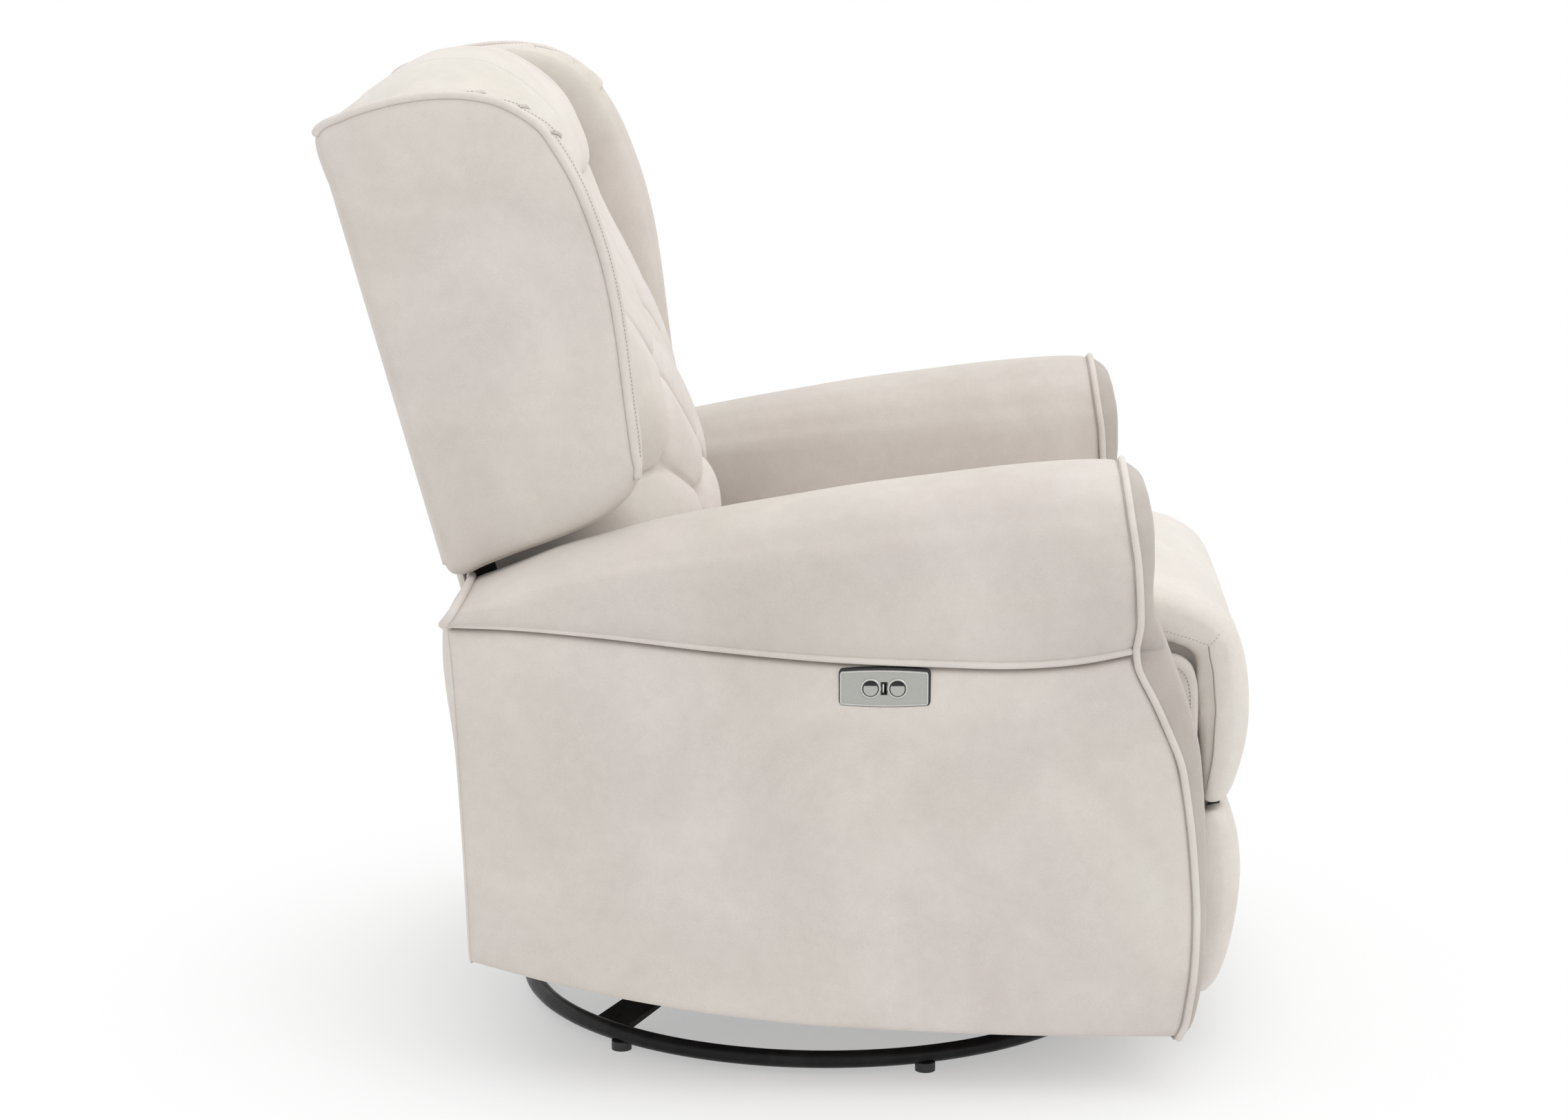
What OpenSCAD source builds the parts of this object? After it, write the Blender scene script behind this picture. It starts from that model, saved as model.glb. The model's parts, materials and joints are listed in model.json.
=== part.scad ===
// Power reclining glider chair on a swivelling ring base.
// The chair faces -Y, +Z is up, and the origin is on the floor under the ring's centre.
// Side outlines are lists of [forward, up] pairs; forward is measured along -Y.

/* [Base] */
// Radius of the base ring's centre line
ring_r = 338; // [330:1:345]
// Radius of the base ring's tube
ring_tube_r = 9.5; // [8:0.5:10]
// Number of glide feet under the ring
foot_count = 6; // [4:1:8]
// Number of balls in the swivel bearing
ball_count = 14; // [8:1:20]

/* [Glider] */
// Height of the glider links' upper pivots
glide_top_z = 225; // [222:1:226]
// Length of a glider link between its pivots
glide_link = 130; // [126:1:132]
// Distance of the glider pivots in front of and behind the centre
glide_reach = 150; // [146:1:152]

/* [Seat and arms] */
// Half of the width between the arms
seat_half_w = 245.5; // [240:0.5:246]
// Middle of an arm, measured from the chair's centre plane
arm_mid = 333; // [332.5:0.5:334]
// Half of an arm roll's width
arm_half_w = 85; // [83:1:85]
// Face of an outer side panel, measured from the centre plane
side_face = 402; // [401:1:403]
// Underside of the seat cushion
seat_low = 420; // [420:1:422]
// Top of the seat cushion
seat_top = 510; // [509:1:511]

/* [Back] */
// Inner face of a wing
wing_in = 250; // [249:1:252]
// Outer face of a wing
wing_out = 318; // [308:1:322]
// Lean of the back's rear face from upright, in degrees
back_lean = 15.34; // [15.3:0.01:15.4]

/* [Controls] */
// Width of the control plate
plate_w = 91; // [88:1:94]
// Height of the control plate
plate_h = 38; // [36:1:40]
// Radius of a push button
button_r = 7.4; // [7:0.1:7.6]

/* [Hidden] */
$fn = 64;
run = 0.08;                       // radial play of a pin in its running hole
sheet = 5;                        // thickness of the mechanism's steel plates
pin_r = 6;                        // radius of the main pivot pins
rivet_r = 5;                      // radius of the footrest rivets
hinge_r = 3;                      // radius of the pins between the leg rest's boards
bolt_r = 8;                       // radius of the swivel bolt
ball_r = 4;
cross_z = 40;                     // underside of the cross at its middle
race_z = cross_z + 4;
ball_z = race_z + 3 + ball_r;
pan_z = ball_z + ball_r + 0.3;    // underside of the swivel plate
pan_top = pan_z + sheet;
glide_low_z = glide_top_z - glide_link;

// Layers across the chair, each the inner face of a plate
x_rail = 150;
x_glide = 158;
x_carriage = 167;
x_mech = 190;
x_link = 198;
x_coupler = 206;
x_stay = 214;

// Pivots, as [forward, up]
recline_pivot = [-290, 400];
flap_pivot = [384, 438];
drive_pivot = [308, 362];
flap_lug = [392, 300];
mid_pivot = drive_pivot + flap_lug - flap_pivot;
stay_top = [385, 312];
stay_low = [402, 240];
ottoman_pivot = [431, 271];
cross_tube_at = [120, 262];
cross_tube_r = 11;
nose_r = seat_top - flap_pivot[1];

// Control panel
plate_mid = [69, 447];
button_gap = 14;                  // from the plate's middle to each button's axis
housing = [84, 32];

// Height of an arm's crest, and of the seam under its roll, along the chair
crest_line = [[-386, 530], [-367, 541], [-284, 575], [-185, 604], [-37, 634],
    [127, 658], [289, 674], [322, 671], [346, 640]];
seam_line = [[-386, 511], [-319, 509], [-230, 501], [-116, 488], [6, 477],
    [128, 472], [209, 471], [273, 477], [346, 489]];
arm_stations = [-386, -375, -349, -343, -284, -235, -185, -111, -37, 45, 127, 208, 289, 322, 326,
    338, 346];

// Front edge of the side panel, from its foot up to the roll's seam
front_seam = [[379, 66], [391, 102], [396, 169], [396, 202], [393, 249], [389, 290], [383, 332],
    [376, 368], [363, 400], [347, 435], [334, 462], [327, 484]];

// Extrudes an outline of [forward, up] pairs from x = a to x = b
module slab(a, b, outline) {
    translate([a, 0, 0]) rotate([90, 0, 90])
        linear_extrude(b - a) polygon([for (p = outline) [-p[0], p[1]]]);
}

// A rod of radius r along X, from x = a to x = b, at a [forward, up] point
module rod(a, b, at, r) {
    translate([a, -at[0], at[1]]) rotate([0, 90, 0]) cylinder(r = r, h = b - a);
}

// A flat bar with round ends between two [forward, up] points
module bar(a, b, p, q, r) {
    reach = norm(q - p);
    side = [p[1] - q[1], q[0] - p[0]] * r / reach;
    rod(a, b, p, r);
    rod(a, b, q, r);
    slab(a, b, [p + side, q + side, q - side, p - side]);
}

// Draws its children on the chair's left, or mirrored on its right
module on_side(left) {
    if (left) children();
    else mirror([1, 0, 0]) children();
}

module on_both_sides() {
    on_side(true) children();
    on_side(false) children();
}

// Joins rings of points, all of one length, into a closed solid
module loft(rings) {
    n = len(rings[0]);
    last = len(rings) - 1;
    sides = [for (i = [0:last - 1], j = [0:n - 1]) let (k = (j + 1) % n, a = i * n, b = a + n)
        each [[a + j, b + k, a + k], [a + j, b + j, b + k]]];
    start_cap = [[for (j = [0:n - 1]) j]];
    end_cap = [[for (j = [n - 1:-1:0]) last * n + j]];
    polyhedron(points = [for (r = rings, p = r) p], faces = concat(start_cap, sides, end_cap));
}

function shift(points, step) = [for (p = points) p + step];
function reversed(points) = [for (i = [len(points) - 1:-1:0]) points[i]];

// A point of the leaning back: n in front of its rear face, u along that face
function on_back(n, u) = [-392 + n * cos(back_lean) - u * sin(back_lean),
    536 + n * sin(back_lean) + u * cos(back_lean)];

// ---- Base -------------------------------------------------------------------

module base_ring() {
    color("black") translate([0, 0, 18]) rotate_extrude($fn = 128)
        translate([ring_r, 0]) circle(ring_tube_r);
}

module base_cross() {
    spoke = [[90, cross_z + 0.5], [250, cross_z + 0.5], [322, 15], [334, 15], [334, 19],
        [252, race_z - 0.5], [90, race_z - 0.5]];
    color("black") {
        for (turn = [45:90:315]) rotate(turn) slab(-24, 24, spoke);
        difference() {
            translate([0, 0, cross_z]) cylinder(r = 112, h = race_z - cross_z);
            translate([0, 0, cross_z - 1]) cylinder(r = bolt_r, h = 6);
        }
    }
}

module base_feet() {
    color("dimgray") for (i = [0:foot_count - 1]) rotate(i * 360 / foot_count + 20)
        translate([ring_r, 0, 0]) cylinder(r = 11, h = 10);
}

module bearing_race() {
    color("silver") translate([0, 0, race_z]) difference() {
        cylinder(r = 100, h = 3);
        translate([0, 0, -1]) cylinder(r = 64, h = 5);
    }
}

module bearing_balls() {
    color("silver") for (i = [0:ball_count - 1]) rotate(i * 360 / ball_count)
        translate([85, 0, ball_z - 0.1]) sphere(ball_r);
}

module swivel_bolt() {
    color("silver") {
        translate([0, 0, cross_z - 9]) cylinder(r = 14, h = 9);
        translate([0, 0, cross_z - 4]) cylinder(r = bolt_r, h = pan_top + 14 - cross_z);
        translate([0, 0, pan_top + 0.3]) cylinder(r = 13, h = 9);
    }
}

// ---- Turntable --------------------------------------------------------------

module swivel_plate() {
    color("dimgray") difference() {
        translate([-165, -150, pan_z]) cube([330, 300, sheet]);
        translate([0, 0, pan_z - 1]) cylinder(r = bolt_r + run, h = sheet + 2);
    }
}

module glider_rails() {
    color("dimgray") on_both_sides() difference() {
        slab(x_rail, x_rail + sheet, [[-172, pan_top], [172, pan_top], [172, 245], [-172, 245]]);
        for (f = [-100, 0, 100]) rod(x_rail - 1, x_rail + sheet + 1, [f, 140], 42);
        for (f = [-glide_reach, glide_reach])
            rod(x_rail - 1, x_rail + sheet + 1, [f, glide_top_z], pin_r);
    }
}

module glide_upper_pins() {
    color("silver") on_both_sides() for (f = [-glide_reach, glide_reach]) {
        rod(x_rail - 4, x_rail, [f, glide_top_z], 10);
        rod(x_rail, x_glide + sheet + 0.3, [f, glide_top_z], pin_r);
        rod(x_glide + sheet + 0.3, x_glide + sheet + 2.3, [f, glide_top_z], 9);
    }
}

// A pair of hanging links; low_play is the play round their lower pins
module glide_links(f, low_play) {
    on_both_sides() difference() {
        bar(x_glide, x_glide + sheet, [f, glide_top_z], [f, glide_low_z], 15);
        rod(x_glide - 1, x_glide + sheet + 1, [f, glide_top_z], pin_r + run);
        rod(x_glide - 1, x_glide + sheet + 1, [f, glide_low_z], pin_r + low_play);
    }
}

module glide_links_front() { color("slategray") glide_links(glide_reach, run); }
module glide_links_rear() { color("slategray") glide_links(-glide_reach, 1); }

// ---- Chassis ----------------------------------------------------------------

module carriage_plate(left) {
    color("gray") on_side(left) difference() {
        slab(x_carriage, x_carriage + sheet, [[-195, 80], [195, 80], [195, 282], [-195, 282]]);
        for (f = [-100, 0, 100]) rod(x_carriage - 1, x_carriage + sheet + 1, [f, 175], 42);
        for (side = [-1, 1]) {
            rod(x_carriage - 1, x_carriage + sheet + 1, [side * glide_reach, glide_low_z], pin_r);
            rod(x_carriage - 1, x_carriage + sheet + 1,
                [side * cross_tube_at[0], cross_tube_at[1]], cross_tube_r);
        }
    }
}

module glide_lower_pins() {
    color("silver") on_both_sides() for (f = [-glide_reach, glide_reach]) {
        rod(x_rail + sheet + 0.8, x_glide - 0.3, [f, glide_low_z], 9);
        rod(x_glide - 0.3, x_carriage + sheet, [f, glide_low_z], pin_r);
        rod(x_carriage + sheet, x_carriage + sheet + 4, [f, glide_low_z], 10);
    }
}

module mechanism_plate(left) {
    edge = [[-306, 400], [-296, 330], [-220, 240], [240, 240], [322, 320], [372, 384],
        [398, 438], [370, 438], [350, 406], [336, 396], [-280, 396]];
    color("gray") on_side(left) difference() {
        union() {
            slab(x_mech, x_mech + sheet, edge);
            rod(x_mech, x_mech + sheet, recline_pivot, 17);
            rod(x_mech, x_mech + sheet, flap_pivot, 14);
        }
        for (f = [-180:90:180]) rod(x_mech - 1, x_mech + sheet + 1, [f, 330], 34);
        for (side = [-1, 1]) rod(x_mech - 1, x_mech + sheet + 1,
            [side * cross_tube_at[0], cross_tube_at[1]], cross_tube_r);
        rod(x_mech - 1, x_mech + sheet + 1, recline_pivot, pin_r);
        rod(x_mech - 1, x_mech + sheet + 1, flap_pivot, pin_r);
        rod(x_mech - 1, x_mech + sheet + 1, drive_pivot, 10 + run);
    }
}

module cross_tubes() {
    color("black") for (side = [-1, 1])
        rod(-368, 368, [side * cross_tube_at[0], cross_tube_at[1]], cross_tube_r);
}

module frame_pivot_pins() {
    color("silver") on_both_sides() for (at = [recline_pivot, flap_pivot]) {
        rod(x_mech - 2, x_link + sheet + 0.3, at, pin_r);
        rod(x_link + sheet + 0.3, x_link + sheet + 3, at, 9);
    }
}

module seat_rails() {
    front = [[331, 368], [361, 368], [366, 416], [331, 416]];
    rear = [[-215, 368], [-185, 368], [-185, 416], [-215, 416]];
    color("burlywood") {
        slab(1 - x_mech, x_mech - 1, front);
        slab(1 - x_mech, x_mech - 1, rear);
    }
}

// Flat sinuous springs, drawn as a wire that turns back every 27 mm
module seat_springs() {
    wire = 3.5;
    pitch = 27;
    swing = 17;
    module turn(i) {
        f = -196 + i * pitch;
        side = i % 2 == 0 ? 1 : -1;
        translate([side * swing, -f - pitch / 2]) intersection() {
            difference() {
                circle(pitch / 2 + wire / 2);
                circle(pitch / 2 - wire / 2);
            }
            translate([side > 0 ? 0 : -pitch, -pitch]) square([pitch, 2 * pitch]);
        }
        translate([-swing, -f - pitch - wire / 2]) square([2 * swing, wire]);
    }
    color("dimgray") for (x = [-140:70:140]) translate([x, 0, seat_low - 4])
        linear_extrude(wire) union() {
            translate([-swing, 196 - wire / 2]) square([2 * swing, wire]);
            for (i = [0:19]) turn(i);
        }
}

module seat_cushion() {
    color("antiquewhite") {
        slab(-seat_half_w, seat_half_w, [[-112, seat_low], [290, seat_low], [290, seat_top],
            [-100, seat_top], [-112, seat_top - 13]]);
        slab(-187, 187, [[290, seat_low], [flap_pivot[0], seat_low],
            [flap_pivot[0], seat_top], [290, seat_top]]);
        intersection() {
            rod(-187, 187, flap_pivot, nose_r);
            slab(-187, 187, [[flap_pivot[0], seat_low], [480, seat_low], [480, 560],
                [flap_pivot[0], 560]]);
        }
    }
}

side_edge = concat(
    [[-387, 509], [-382, 448], [-377, 338], [-373, 253], [-369, 142],
        [-168, 94], [-35, 77], [81, 70], [231, 65]],
    front_seam,
    [[273, 475], [209, 469], [128, 470], [6, 475], [-116, 486], [-230, 499], [-319, 507]]);

frame_edge = concat(
    [[-380, 503], [-372, 338], [-362, 148], [-166, 101], [-35, 84], [81, 77], [231, 72]],
    [for (p = shift(front_seam, [-8, 6])) [p[0], min(p[1], 474)]],
    [[273, 468], [209, 462], [128, 463], [6, 468], [-116, 479], [-230, 492]]);

// The pocket for the switch housing, which is in the right arm only
module switch_pocket() {
    w = housing[0] / 2 + 0.5;
    h = housing[1] / 2 + 0.5;
    slab(-side_face - 1, -366, [plate_mid + [-w, -h], plate_mid + [w, -h],
        plate_mid + [w, h], plate_mid + [-w, h]]);
}

module arm_frame(left) {
    post = concat(shift(front_seam, [-1.5, 0]), reversed(shift(front_seam, [-22, 0])));
    color("burlywood") difference() {
        on_side(left) difference() {
            union() {
                slab(368, 387, [for (p = frame_edge) [p[0], min(p[1], 503)]]);
                slab(270, 368.5, [for (p = post) [p[0], max(80, min(p[1], 470))]]);
            }
            for (f = [-300:120:-60], z = [210, 330]) rod(367, 388, [f, z], 42);
            for (f = [60, 180], z = [180, 300]) rod(367, 388, [f + 30, z], 42);
        }
        if (!left) switch_pocket();
    }
}

module side_panel(left) {
    color("antiquewhite") difference() {
        on_side(left) slab(387.5, side_face, side_edge);
        if (!left) switch_pocket();
    }
}

// One slice of an arm's pad: the roll over the arm, and the inner face down beside the seat
function arm_slice(f) =
    let (low = lookup(f, seam_line), high = lookup(f, crest_line),
        taper = f > 335 ? 8 : f < -380 ? 5 : 0, half = arm_half_w - taper,
        inner_low = f > 322 ? low - 3 : f < -345 ? 353 : 275)
    concat(
        [for (a = [0:15:180]) [arm_mid + half * cos(a), -f, low + 1 + (high - low - 1) * pow(sin(a), 0.8)]],
        [[arm_mid - half, -f, inner_low], [arm_mid - half + 20, -f, inner_low],
            [arm_mid - half + 22, -f, low - 2 + (f > 322 ? 1 : 0)], [arm_mid + half - 25, -f, low + 1]]);

module arm_pad(left) {
    color("antiquewhite") on_side(left) loft([for (f = arm_stations) arm_slice(f)]);
}

module arm_facing(left) {
    outer = [[392, 66], [404, 102], [409, 150], [410, 200], [409, 255], [406, 310], [402, 345],
        [396, 388], [386, 424], [372, 462], [362, 482]];
    color("antiquewhite") on_side(left)
        slab(251, side_face, concat(outer, reversed([for (p = shift(front_seam, [0.5, 0]))
            [p[0], min(p[1], 482)]])));
}

module rear_skirt() {
    color("antiquewhite") difference() {
        slab(-366, 366, [[-362, 138], [-350, 138], [-350, 350], [-362, 350]]);
        translate([128, 345, 156]) cube([44, 22, 28]);
    }
}

// ---- Controls on the right arm ----------------------------------------------

// The control plate's outline in the plane of the side panel, round its middle
module plate_outline() {
    r = 5;
    bow_r = 560;
    intersection() {
        union() {
            square([plate_w, plate_h - 2 * r], center = true);
            square([plate_w - 2 * r, plate_h], center = true);
            for (i = [-1, 1], j = [-1, 1])
                translate([i * (plate_w / 2 - r), j * (plate_h / 2 - r)]) circle(r);
        }
        translate([0, plate_h / 2 - bow_r]) circle(bow_r, $fn = 400);
        translate([0, bow_r - plate_h / 2]) circle(bow_r, $fn = 400);
    }
}

module switch_plate() {
    color("silver") difference() {
        translate([-side_face - 2.5, -plate_mid[0], plate_mid[1]]) rotate([90, 0, 90])
            linear_extrude(2.4) plate_outline();
        for (s = [-1, 1]) rod(-side_face - 4, -side_face + 1, plate_mid + [s * button_gap, 0],
            button_r + run);
        translate([-side_face - 4, -plate_mid[0] - 3.5, plate_mid[1] - 7]) cube([6, 7, 14]);
    }
}

module switch_housing() {
    w = housing[0] / 2;
    h = housing[1] / 2;
    color("dimgray") difference() {
        slab(-side_face, -374, [plate_mid + [-w, -h], plate_mid + [w, -h],
            plate_mid + [w, h], plate_mid + [-w, h]]);
        for (s = [-1, 1]) rod(-side_face - 1, -388, plate_mid + [s * button_gap, 0], 9);
        translate([-side_face - 1, -plate_mid[0] - 3.5, plate_mid[1] - 7]) cube([15, 7, 14]);
    }
}

module usb_port() {
    mouth = -side_face - 2;
    color("black") translate([mouth, -plate_mid[0], plate_mid[1]]) {
        difference() {
            translate([0, -3, -6.5]) cube([14, 6, 13]);
            translate([-1, -2.3, -5.8]) cube([11, 4.6, 11.6]);
        }
        translate([1, 0.2, -5]) cube([9.5, 1.6, 10]);
    }
}

module push_button(s) {
    color("gainsboro") difference() {
        rod(-side_face - 5, -391, plate_mid + [s * button_gap, 0], button_r);
        translate([-side_face - 45, -plate_mid[0] - s * button_gap, plate_mid[1]])
            sphere(40.6, $fn = 96);
    }
}

module button_open() { push_button(1); }
module button_close() { push_button(-1); }

// ---- Actuator ---------------------------------------------------------------

module actuator_motor() {
    color("dimgray") {
        translate([-60, 60, 278]) cube([70, 80, 46]);
        rod(-25, 45, [-100, 345], 21);
    }
}

module actuator_track() {
    color("silver") translate([-40, -352, 280]) cube([30, 412, 20]);
}

module drive_nut() {
    color("dimgray") slab(-40, -10, [[284, 300.4], [312, 300.4], [312, 316], [304, 324],
        [292, 324], [284, 316]]);
}

module power_inlet() {
    color("black") difference() {
        translate([129, 332, 157]) cube([42, 32, 26]);
        translate([150, 352, 170]) rotate([-90, 0, 0]) cylinder(r = 4.5, h = 14);
    }
}

// ---- Back -------------------------------------------------------------------

module back_brackets() {
    strap = [on_back(16, 60), on_back(40.5, 60), on_back(40.5, -96), on_back(76, -148),
        on_back(62, -173), on_back(46, -168), on_back(16, -112)];
    color("gray") on_both_sides() difference() {
        union() {
            slab(x_link, x_link + sheet, strap);
            rod(x_link, x_link + sheet, recline_pivot, 17);
        }
        rod(x_link - 1, x_link + sheet + 1, recline_pivot, pin_r + run);
    }
}

module back_frame() {
    panel = [on_back(15, -110), on_back(40, -110), on_back(40, 440), on_back(15, 440)];
    color("burlywood") difference() {
        slab(-197.9, 197.9, panel);
        for (x = [-100, 0, 100], u = [-30:110:410]) translate([x, 392, 536])
            rotate([-back_lean, 0, 0]) translate([0, -60, u]) rotate([-90, 0, 0])
                cylinder(r = 40, h = 80);
    }
}

module outer_back_panel() {
    color("antiquewhite") slab(-246, 246, [on_back(0, -120), on_back(14, -120),
        on_back(14, 440), on_back(0, 440)]);
}

module back_cushion() {
    color("antiquewhite") slab(-seat_half_w, seat_half_w, [[-262, 943], [-232, 884], [-196, 811],
        [-180, 767], [-161, 714], [-145, 660], [-130, 615], [-119, 580], [-116, 553],
        [-123, 500], [-136, 474], [-312, 474], on_back(42, -66), on_back(42, 400)]);
}

module crown() {
    color("antiquewhite") slab(-248, 248, [[-509, 963], on_back(41, 442), on_back(41, 404),
        [-263, 947], [-271, 985], [-300, 1029], [-345, 1064], [-393, 1071], [-437, 1063],
        [-481, 1043], [-524, 1012]]);
}

wing_board = [[-394, 590], [-300, 612], [-240, 650], [-250, 800], [-290, 960], [-360, 1020],
    [-440, 1020], [-496, 980]];

module wing_frame(left) {
    color("burlywood") on_side(left) slab(276, 290, wing_board);
}

module wing(left) {
    edge = [[-521, 1012], [-490, 1033], [-457, 1045], [-425, 1051], [-392, 1054], [-360, 1053],
        [-328, 1046], [-288, 1023], [-272, 999], [-252, 962], [-228, 897], [-217, 848],
        [-209, 799], [-201, 732], [-194, 676], [-191, 655], [-201, 632], [-228, 608],
        [-258, 594], [-288, 582], [-320, 570], [-352, 557], [-378, 546], [-391, 549]];
    color("antiquewhite") on_side(left) difference() {
        slab(wing_in, wing_out, edge);
        slab(276, 290, wing_board);
    }
}

// ---- Leg rest ---------------------------------------------------------------

module flap_brackets() {
    arm = [[370, 438], [398, 438], [403, 396], [420, 370], [420, 284], [409, 284], [398, 290],
        [382, 296], [376, 380]];
    color("gray") on_both_sides() {
        difference() {
            union() {
                slab(x_link, x_link + sheet, arm);
                rod(x_link, x_link + sheet, flap_pivot, 14);
                rod(x_link, x_link + sheet, flap_lug, 12);
                bar(x_link, x_link + sheet, [414, 292], ottoman_pivot, 5.5);
            }
            rod(x_link - 1, x_link + sheet + 1, flap_pivot, pin_r + run);
            rod(x_link - 1, x_link + sheet + 1, ottoman_pivot, hinge_r + run);
        }
        rod(x_link + sheet - 0.5, x_coupler + sheet + 2, flap_lug, rivet_r);
    }
}

module chaise_board() {
    color("burlywood") slab(-197.9, 197.9, [[409, 284], [420.5, 284], [420.5, 366], [409, 366]]);
}

// Room in a pad for the hinge between the boards: both knuckles, and the strap of one of them
module hinge_room(x, root) {
    rod(x_link - 4, x_coupler + sheet + 2, ottoman_pivot, 7);
    bar(x - 1, x + sheet + 1, root, ottoman_pivot, 7);
}

module chaise_pad() {
    color("antiquewhite") difference() {
        slab(1 - seat_half_w, seat_half_w - 1, [[458, 426], [461, 400], [461, 368], [457, 340],
            [450, 308], [438, 274], [421, 282], [421, 370], [440, 392], [452, 415]]);
        rod(-seat_half_w, seat_half_w, flap_pivot, nose_r + 1);
        on_both_sides() hinge_room(x_link, [414, 292]);
    }
}

module ottoman_brackets() {
    color("gray") on_both_sides() {
        slab(x_coupler, x_coupler + sheet, [[402, 229], [402, 251], [420, 258], [420, 150],
            [409, 150]]);
        rod(x_coupler, x_coupler + sheet, stay_low, 11);
        bar(x_coupler, x_coupler + sheet, [414, 252], ottoman_pivot, 5);
        rod(x_link - 2, x_coupler + 0.5, ottoman_pivot, hinge_r);
        rod(x_coupler + sheet - 0.5, x_stay + sheet + 2, stay_low, 3.5);
    }
}

module ottoman_board() {
    color("burlywood") slab(0.1 - x_coupler, x_coupler - 0.1,
        [[409, 78], [420.5, 78], [420.5, 258], [409, 258]]);
}

module ottoman_pad() {
    color("antiquewhite") difference() {
        slab(1 - seat_half_w, seat_half_w - 1, [[437, 269.5], [446, 252], [453, 222], [454, 195],
            [452, 160], [447, 125], [440, 95], [430, 70], [421, 62], [421, 261]]);
        on_both_sides() hinge_room(x_coupler, [414, 252]);
    }
}

module footrest_drive_links() {
    color("slategray") on_both_sides() {
        difference() {
            bar(x_link, x_link + sheet, drive_pivot, mid_pivot, 12);
            rod(x_link - 1, x_link + sheet + 1, drive_pivot, 10);
        }
        rod(x_link + sheet - 0.5, x_coupler + sheet + 0.3, mid_pivot, rivet_r);
        rod(x_coupler + sheet + 0.3, x_coupler + sheet + 2, mid_pivot, 8);
    }
}

// The tube that joins both drive links, with the crank that the nut pushes
module torque_tube() {
    crank_end = drive_pivot + 60 * [cos(-100), sin(-100)];
    color("silver") {
        rod(-x_link - sheet, x_link + sheet, drive_pivot, 10);
        bar(-5, 5, drive_pivot, crank_end, 11);
    }
}

module footrest_couplers() {
    color("slategray") on_both_sides() {
        difference() {
            union() {
                bar(x_coupler, x_coupler + sheet, mid_pivot, flap_lug, 11);
                bar(x_coupler, x_coupler + sheet, flap_lug, stay_top, 11);
            }
            rod(x_coupler - 1, x_coupler + sheet + 1, mid_pivot, rivet_r + run);
            rod(x_coupler - 1, x_coupler + sheet + 1, flap_lug, rivet_r + 1);
        }
        rod(x_coupler + sheet - 0.5, x_stay + sheet + 0.3, stay_top, rivet_r);
        rod(x_stay + sheet + 0.3, x_stay + sheet + 2, stay_top, 8);
    }
}

module footrest_stays() {
    color("slategray") on_both_sides() difference() {
        bar(x_stay, x_stay + sheet, stay_top, stay_low, 11);
        rod(x_stay - 1, x_stay + sheet + 1, stay_top, rivet_r + run);
        rod(x_stay - 1, x_stay + sheet + 1, stay_low, 8);
    }
}

base_ring();
base_cross();
base_feet();
bearing_race();
bearing_balls();
swivel_bolt();
swivel_plate();
glider_rails();
glide_upper_pins();
glide_links_front();
glide_links_rear();
carriage_plate(true);  // carriage_plate_left
carriage_plate(false);  // carriage_plate_right
glide_lower_pins();
mechanism_plate(true);  // mechanism_plate_left
mechanism_plate(false);  // mechanism_plate_right
cross_tubes();
frame_pivot_pins();
seat_rails();
seat_springs();
seat_cushion();
arm_frame(true);  // arm_frame_left
arm_frame(false);  // arm_frame_right
side_panel(true);  // side_panel_left
side_panel(false);  // side_panel_right
arm_pad(true);  // arm_pad_left
arm_pad(false);  // arm_pad_right
arm_facing(true);  // arm_facing_left
arm_facing(false);  // arm_facing_right
rear_skirt();
switch_plate();
switch_housing();
usb_port();
button_open();
button_close();
actuator_motor();
actuator_track();
drive_nut();
power_inlet();
back_brackets();
back_frame();
outer_back_panel();
back_cushion();
crown();
wing(true);  // wing_left
wing(false);  // wing_right
wing_frame(true);  // wing_frame_left
wing_frame(false);  // wing_frame_right
flap_brackets();
chaise_board();
chaise_pad();
ottoman_brackets();
ottoman_board();
ottoman_pad();
footrest_drive_links();
torque_tube();
footrest_couplers();
footrest_stays();
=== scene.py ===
"""Upholstered power glider: fabric, piping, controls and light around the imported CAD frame.

Points are in millimetres, as (x, f, z): x to the sitter's left, f forward (the model's -Y), z up.
"""
import json
import math

import bmesh
import bpy
import numpy as np
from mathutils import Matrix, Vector


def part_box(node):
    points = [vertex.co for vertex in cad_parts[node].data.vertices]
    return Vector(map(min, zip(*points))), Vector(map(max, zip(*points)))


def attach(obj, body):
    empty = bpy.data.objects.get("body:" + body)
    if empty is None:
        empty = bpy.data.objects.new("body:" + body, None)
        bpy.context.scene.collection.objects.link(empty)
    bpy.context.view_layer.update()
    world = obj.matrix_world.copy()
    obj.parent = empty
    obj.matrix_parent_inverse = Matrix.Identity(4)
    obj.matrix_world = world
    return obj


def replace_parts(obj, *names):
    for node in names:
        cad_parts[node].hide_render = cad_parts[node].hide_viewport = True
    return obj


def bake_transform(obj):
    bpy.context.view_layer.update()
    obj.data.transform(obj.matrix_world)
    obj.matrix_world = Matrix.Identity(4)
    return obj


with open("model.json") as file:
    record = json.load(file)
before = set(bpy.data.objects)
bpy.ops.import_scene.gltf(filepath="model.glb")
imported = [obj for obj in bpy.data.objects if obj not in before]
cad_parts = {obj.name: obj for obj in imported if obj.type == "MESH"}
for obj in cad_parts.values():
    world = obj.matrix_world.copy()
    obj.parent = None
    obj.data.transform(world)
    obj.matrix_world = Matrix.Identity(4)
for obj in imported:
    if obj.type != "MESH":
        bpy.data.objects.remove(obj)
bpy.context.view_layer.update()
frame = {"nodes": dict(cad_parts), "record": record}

# ---- Driving dimensions, in millimetres ---------------------------------------------------------

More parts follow.
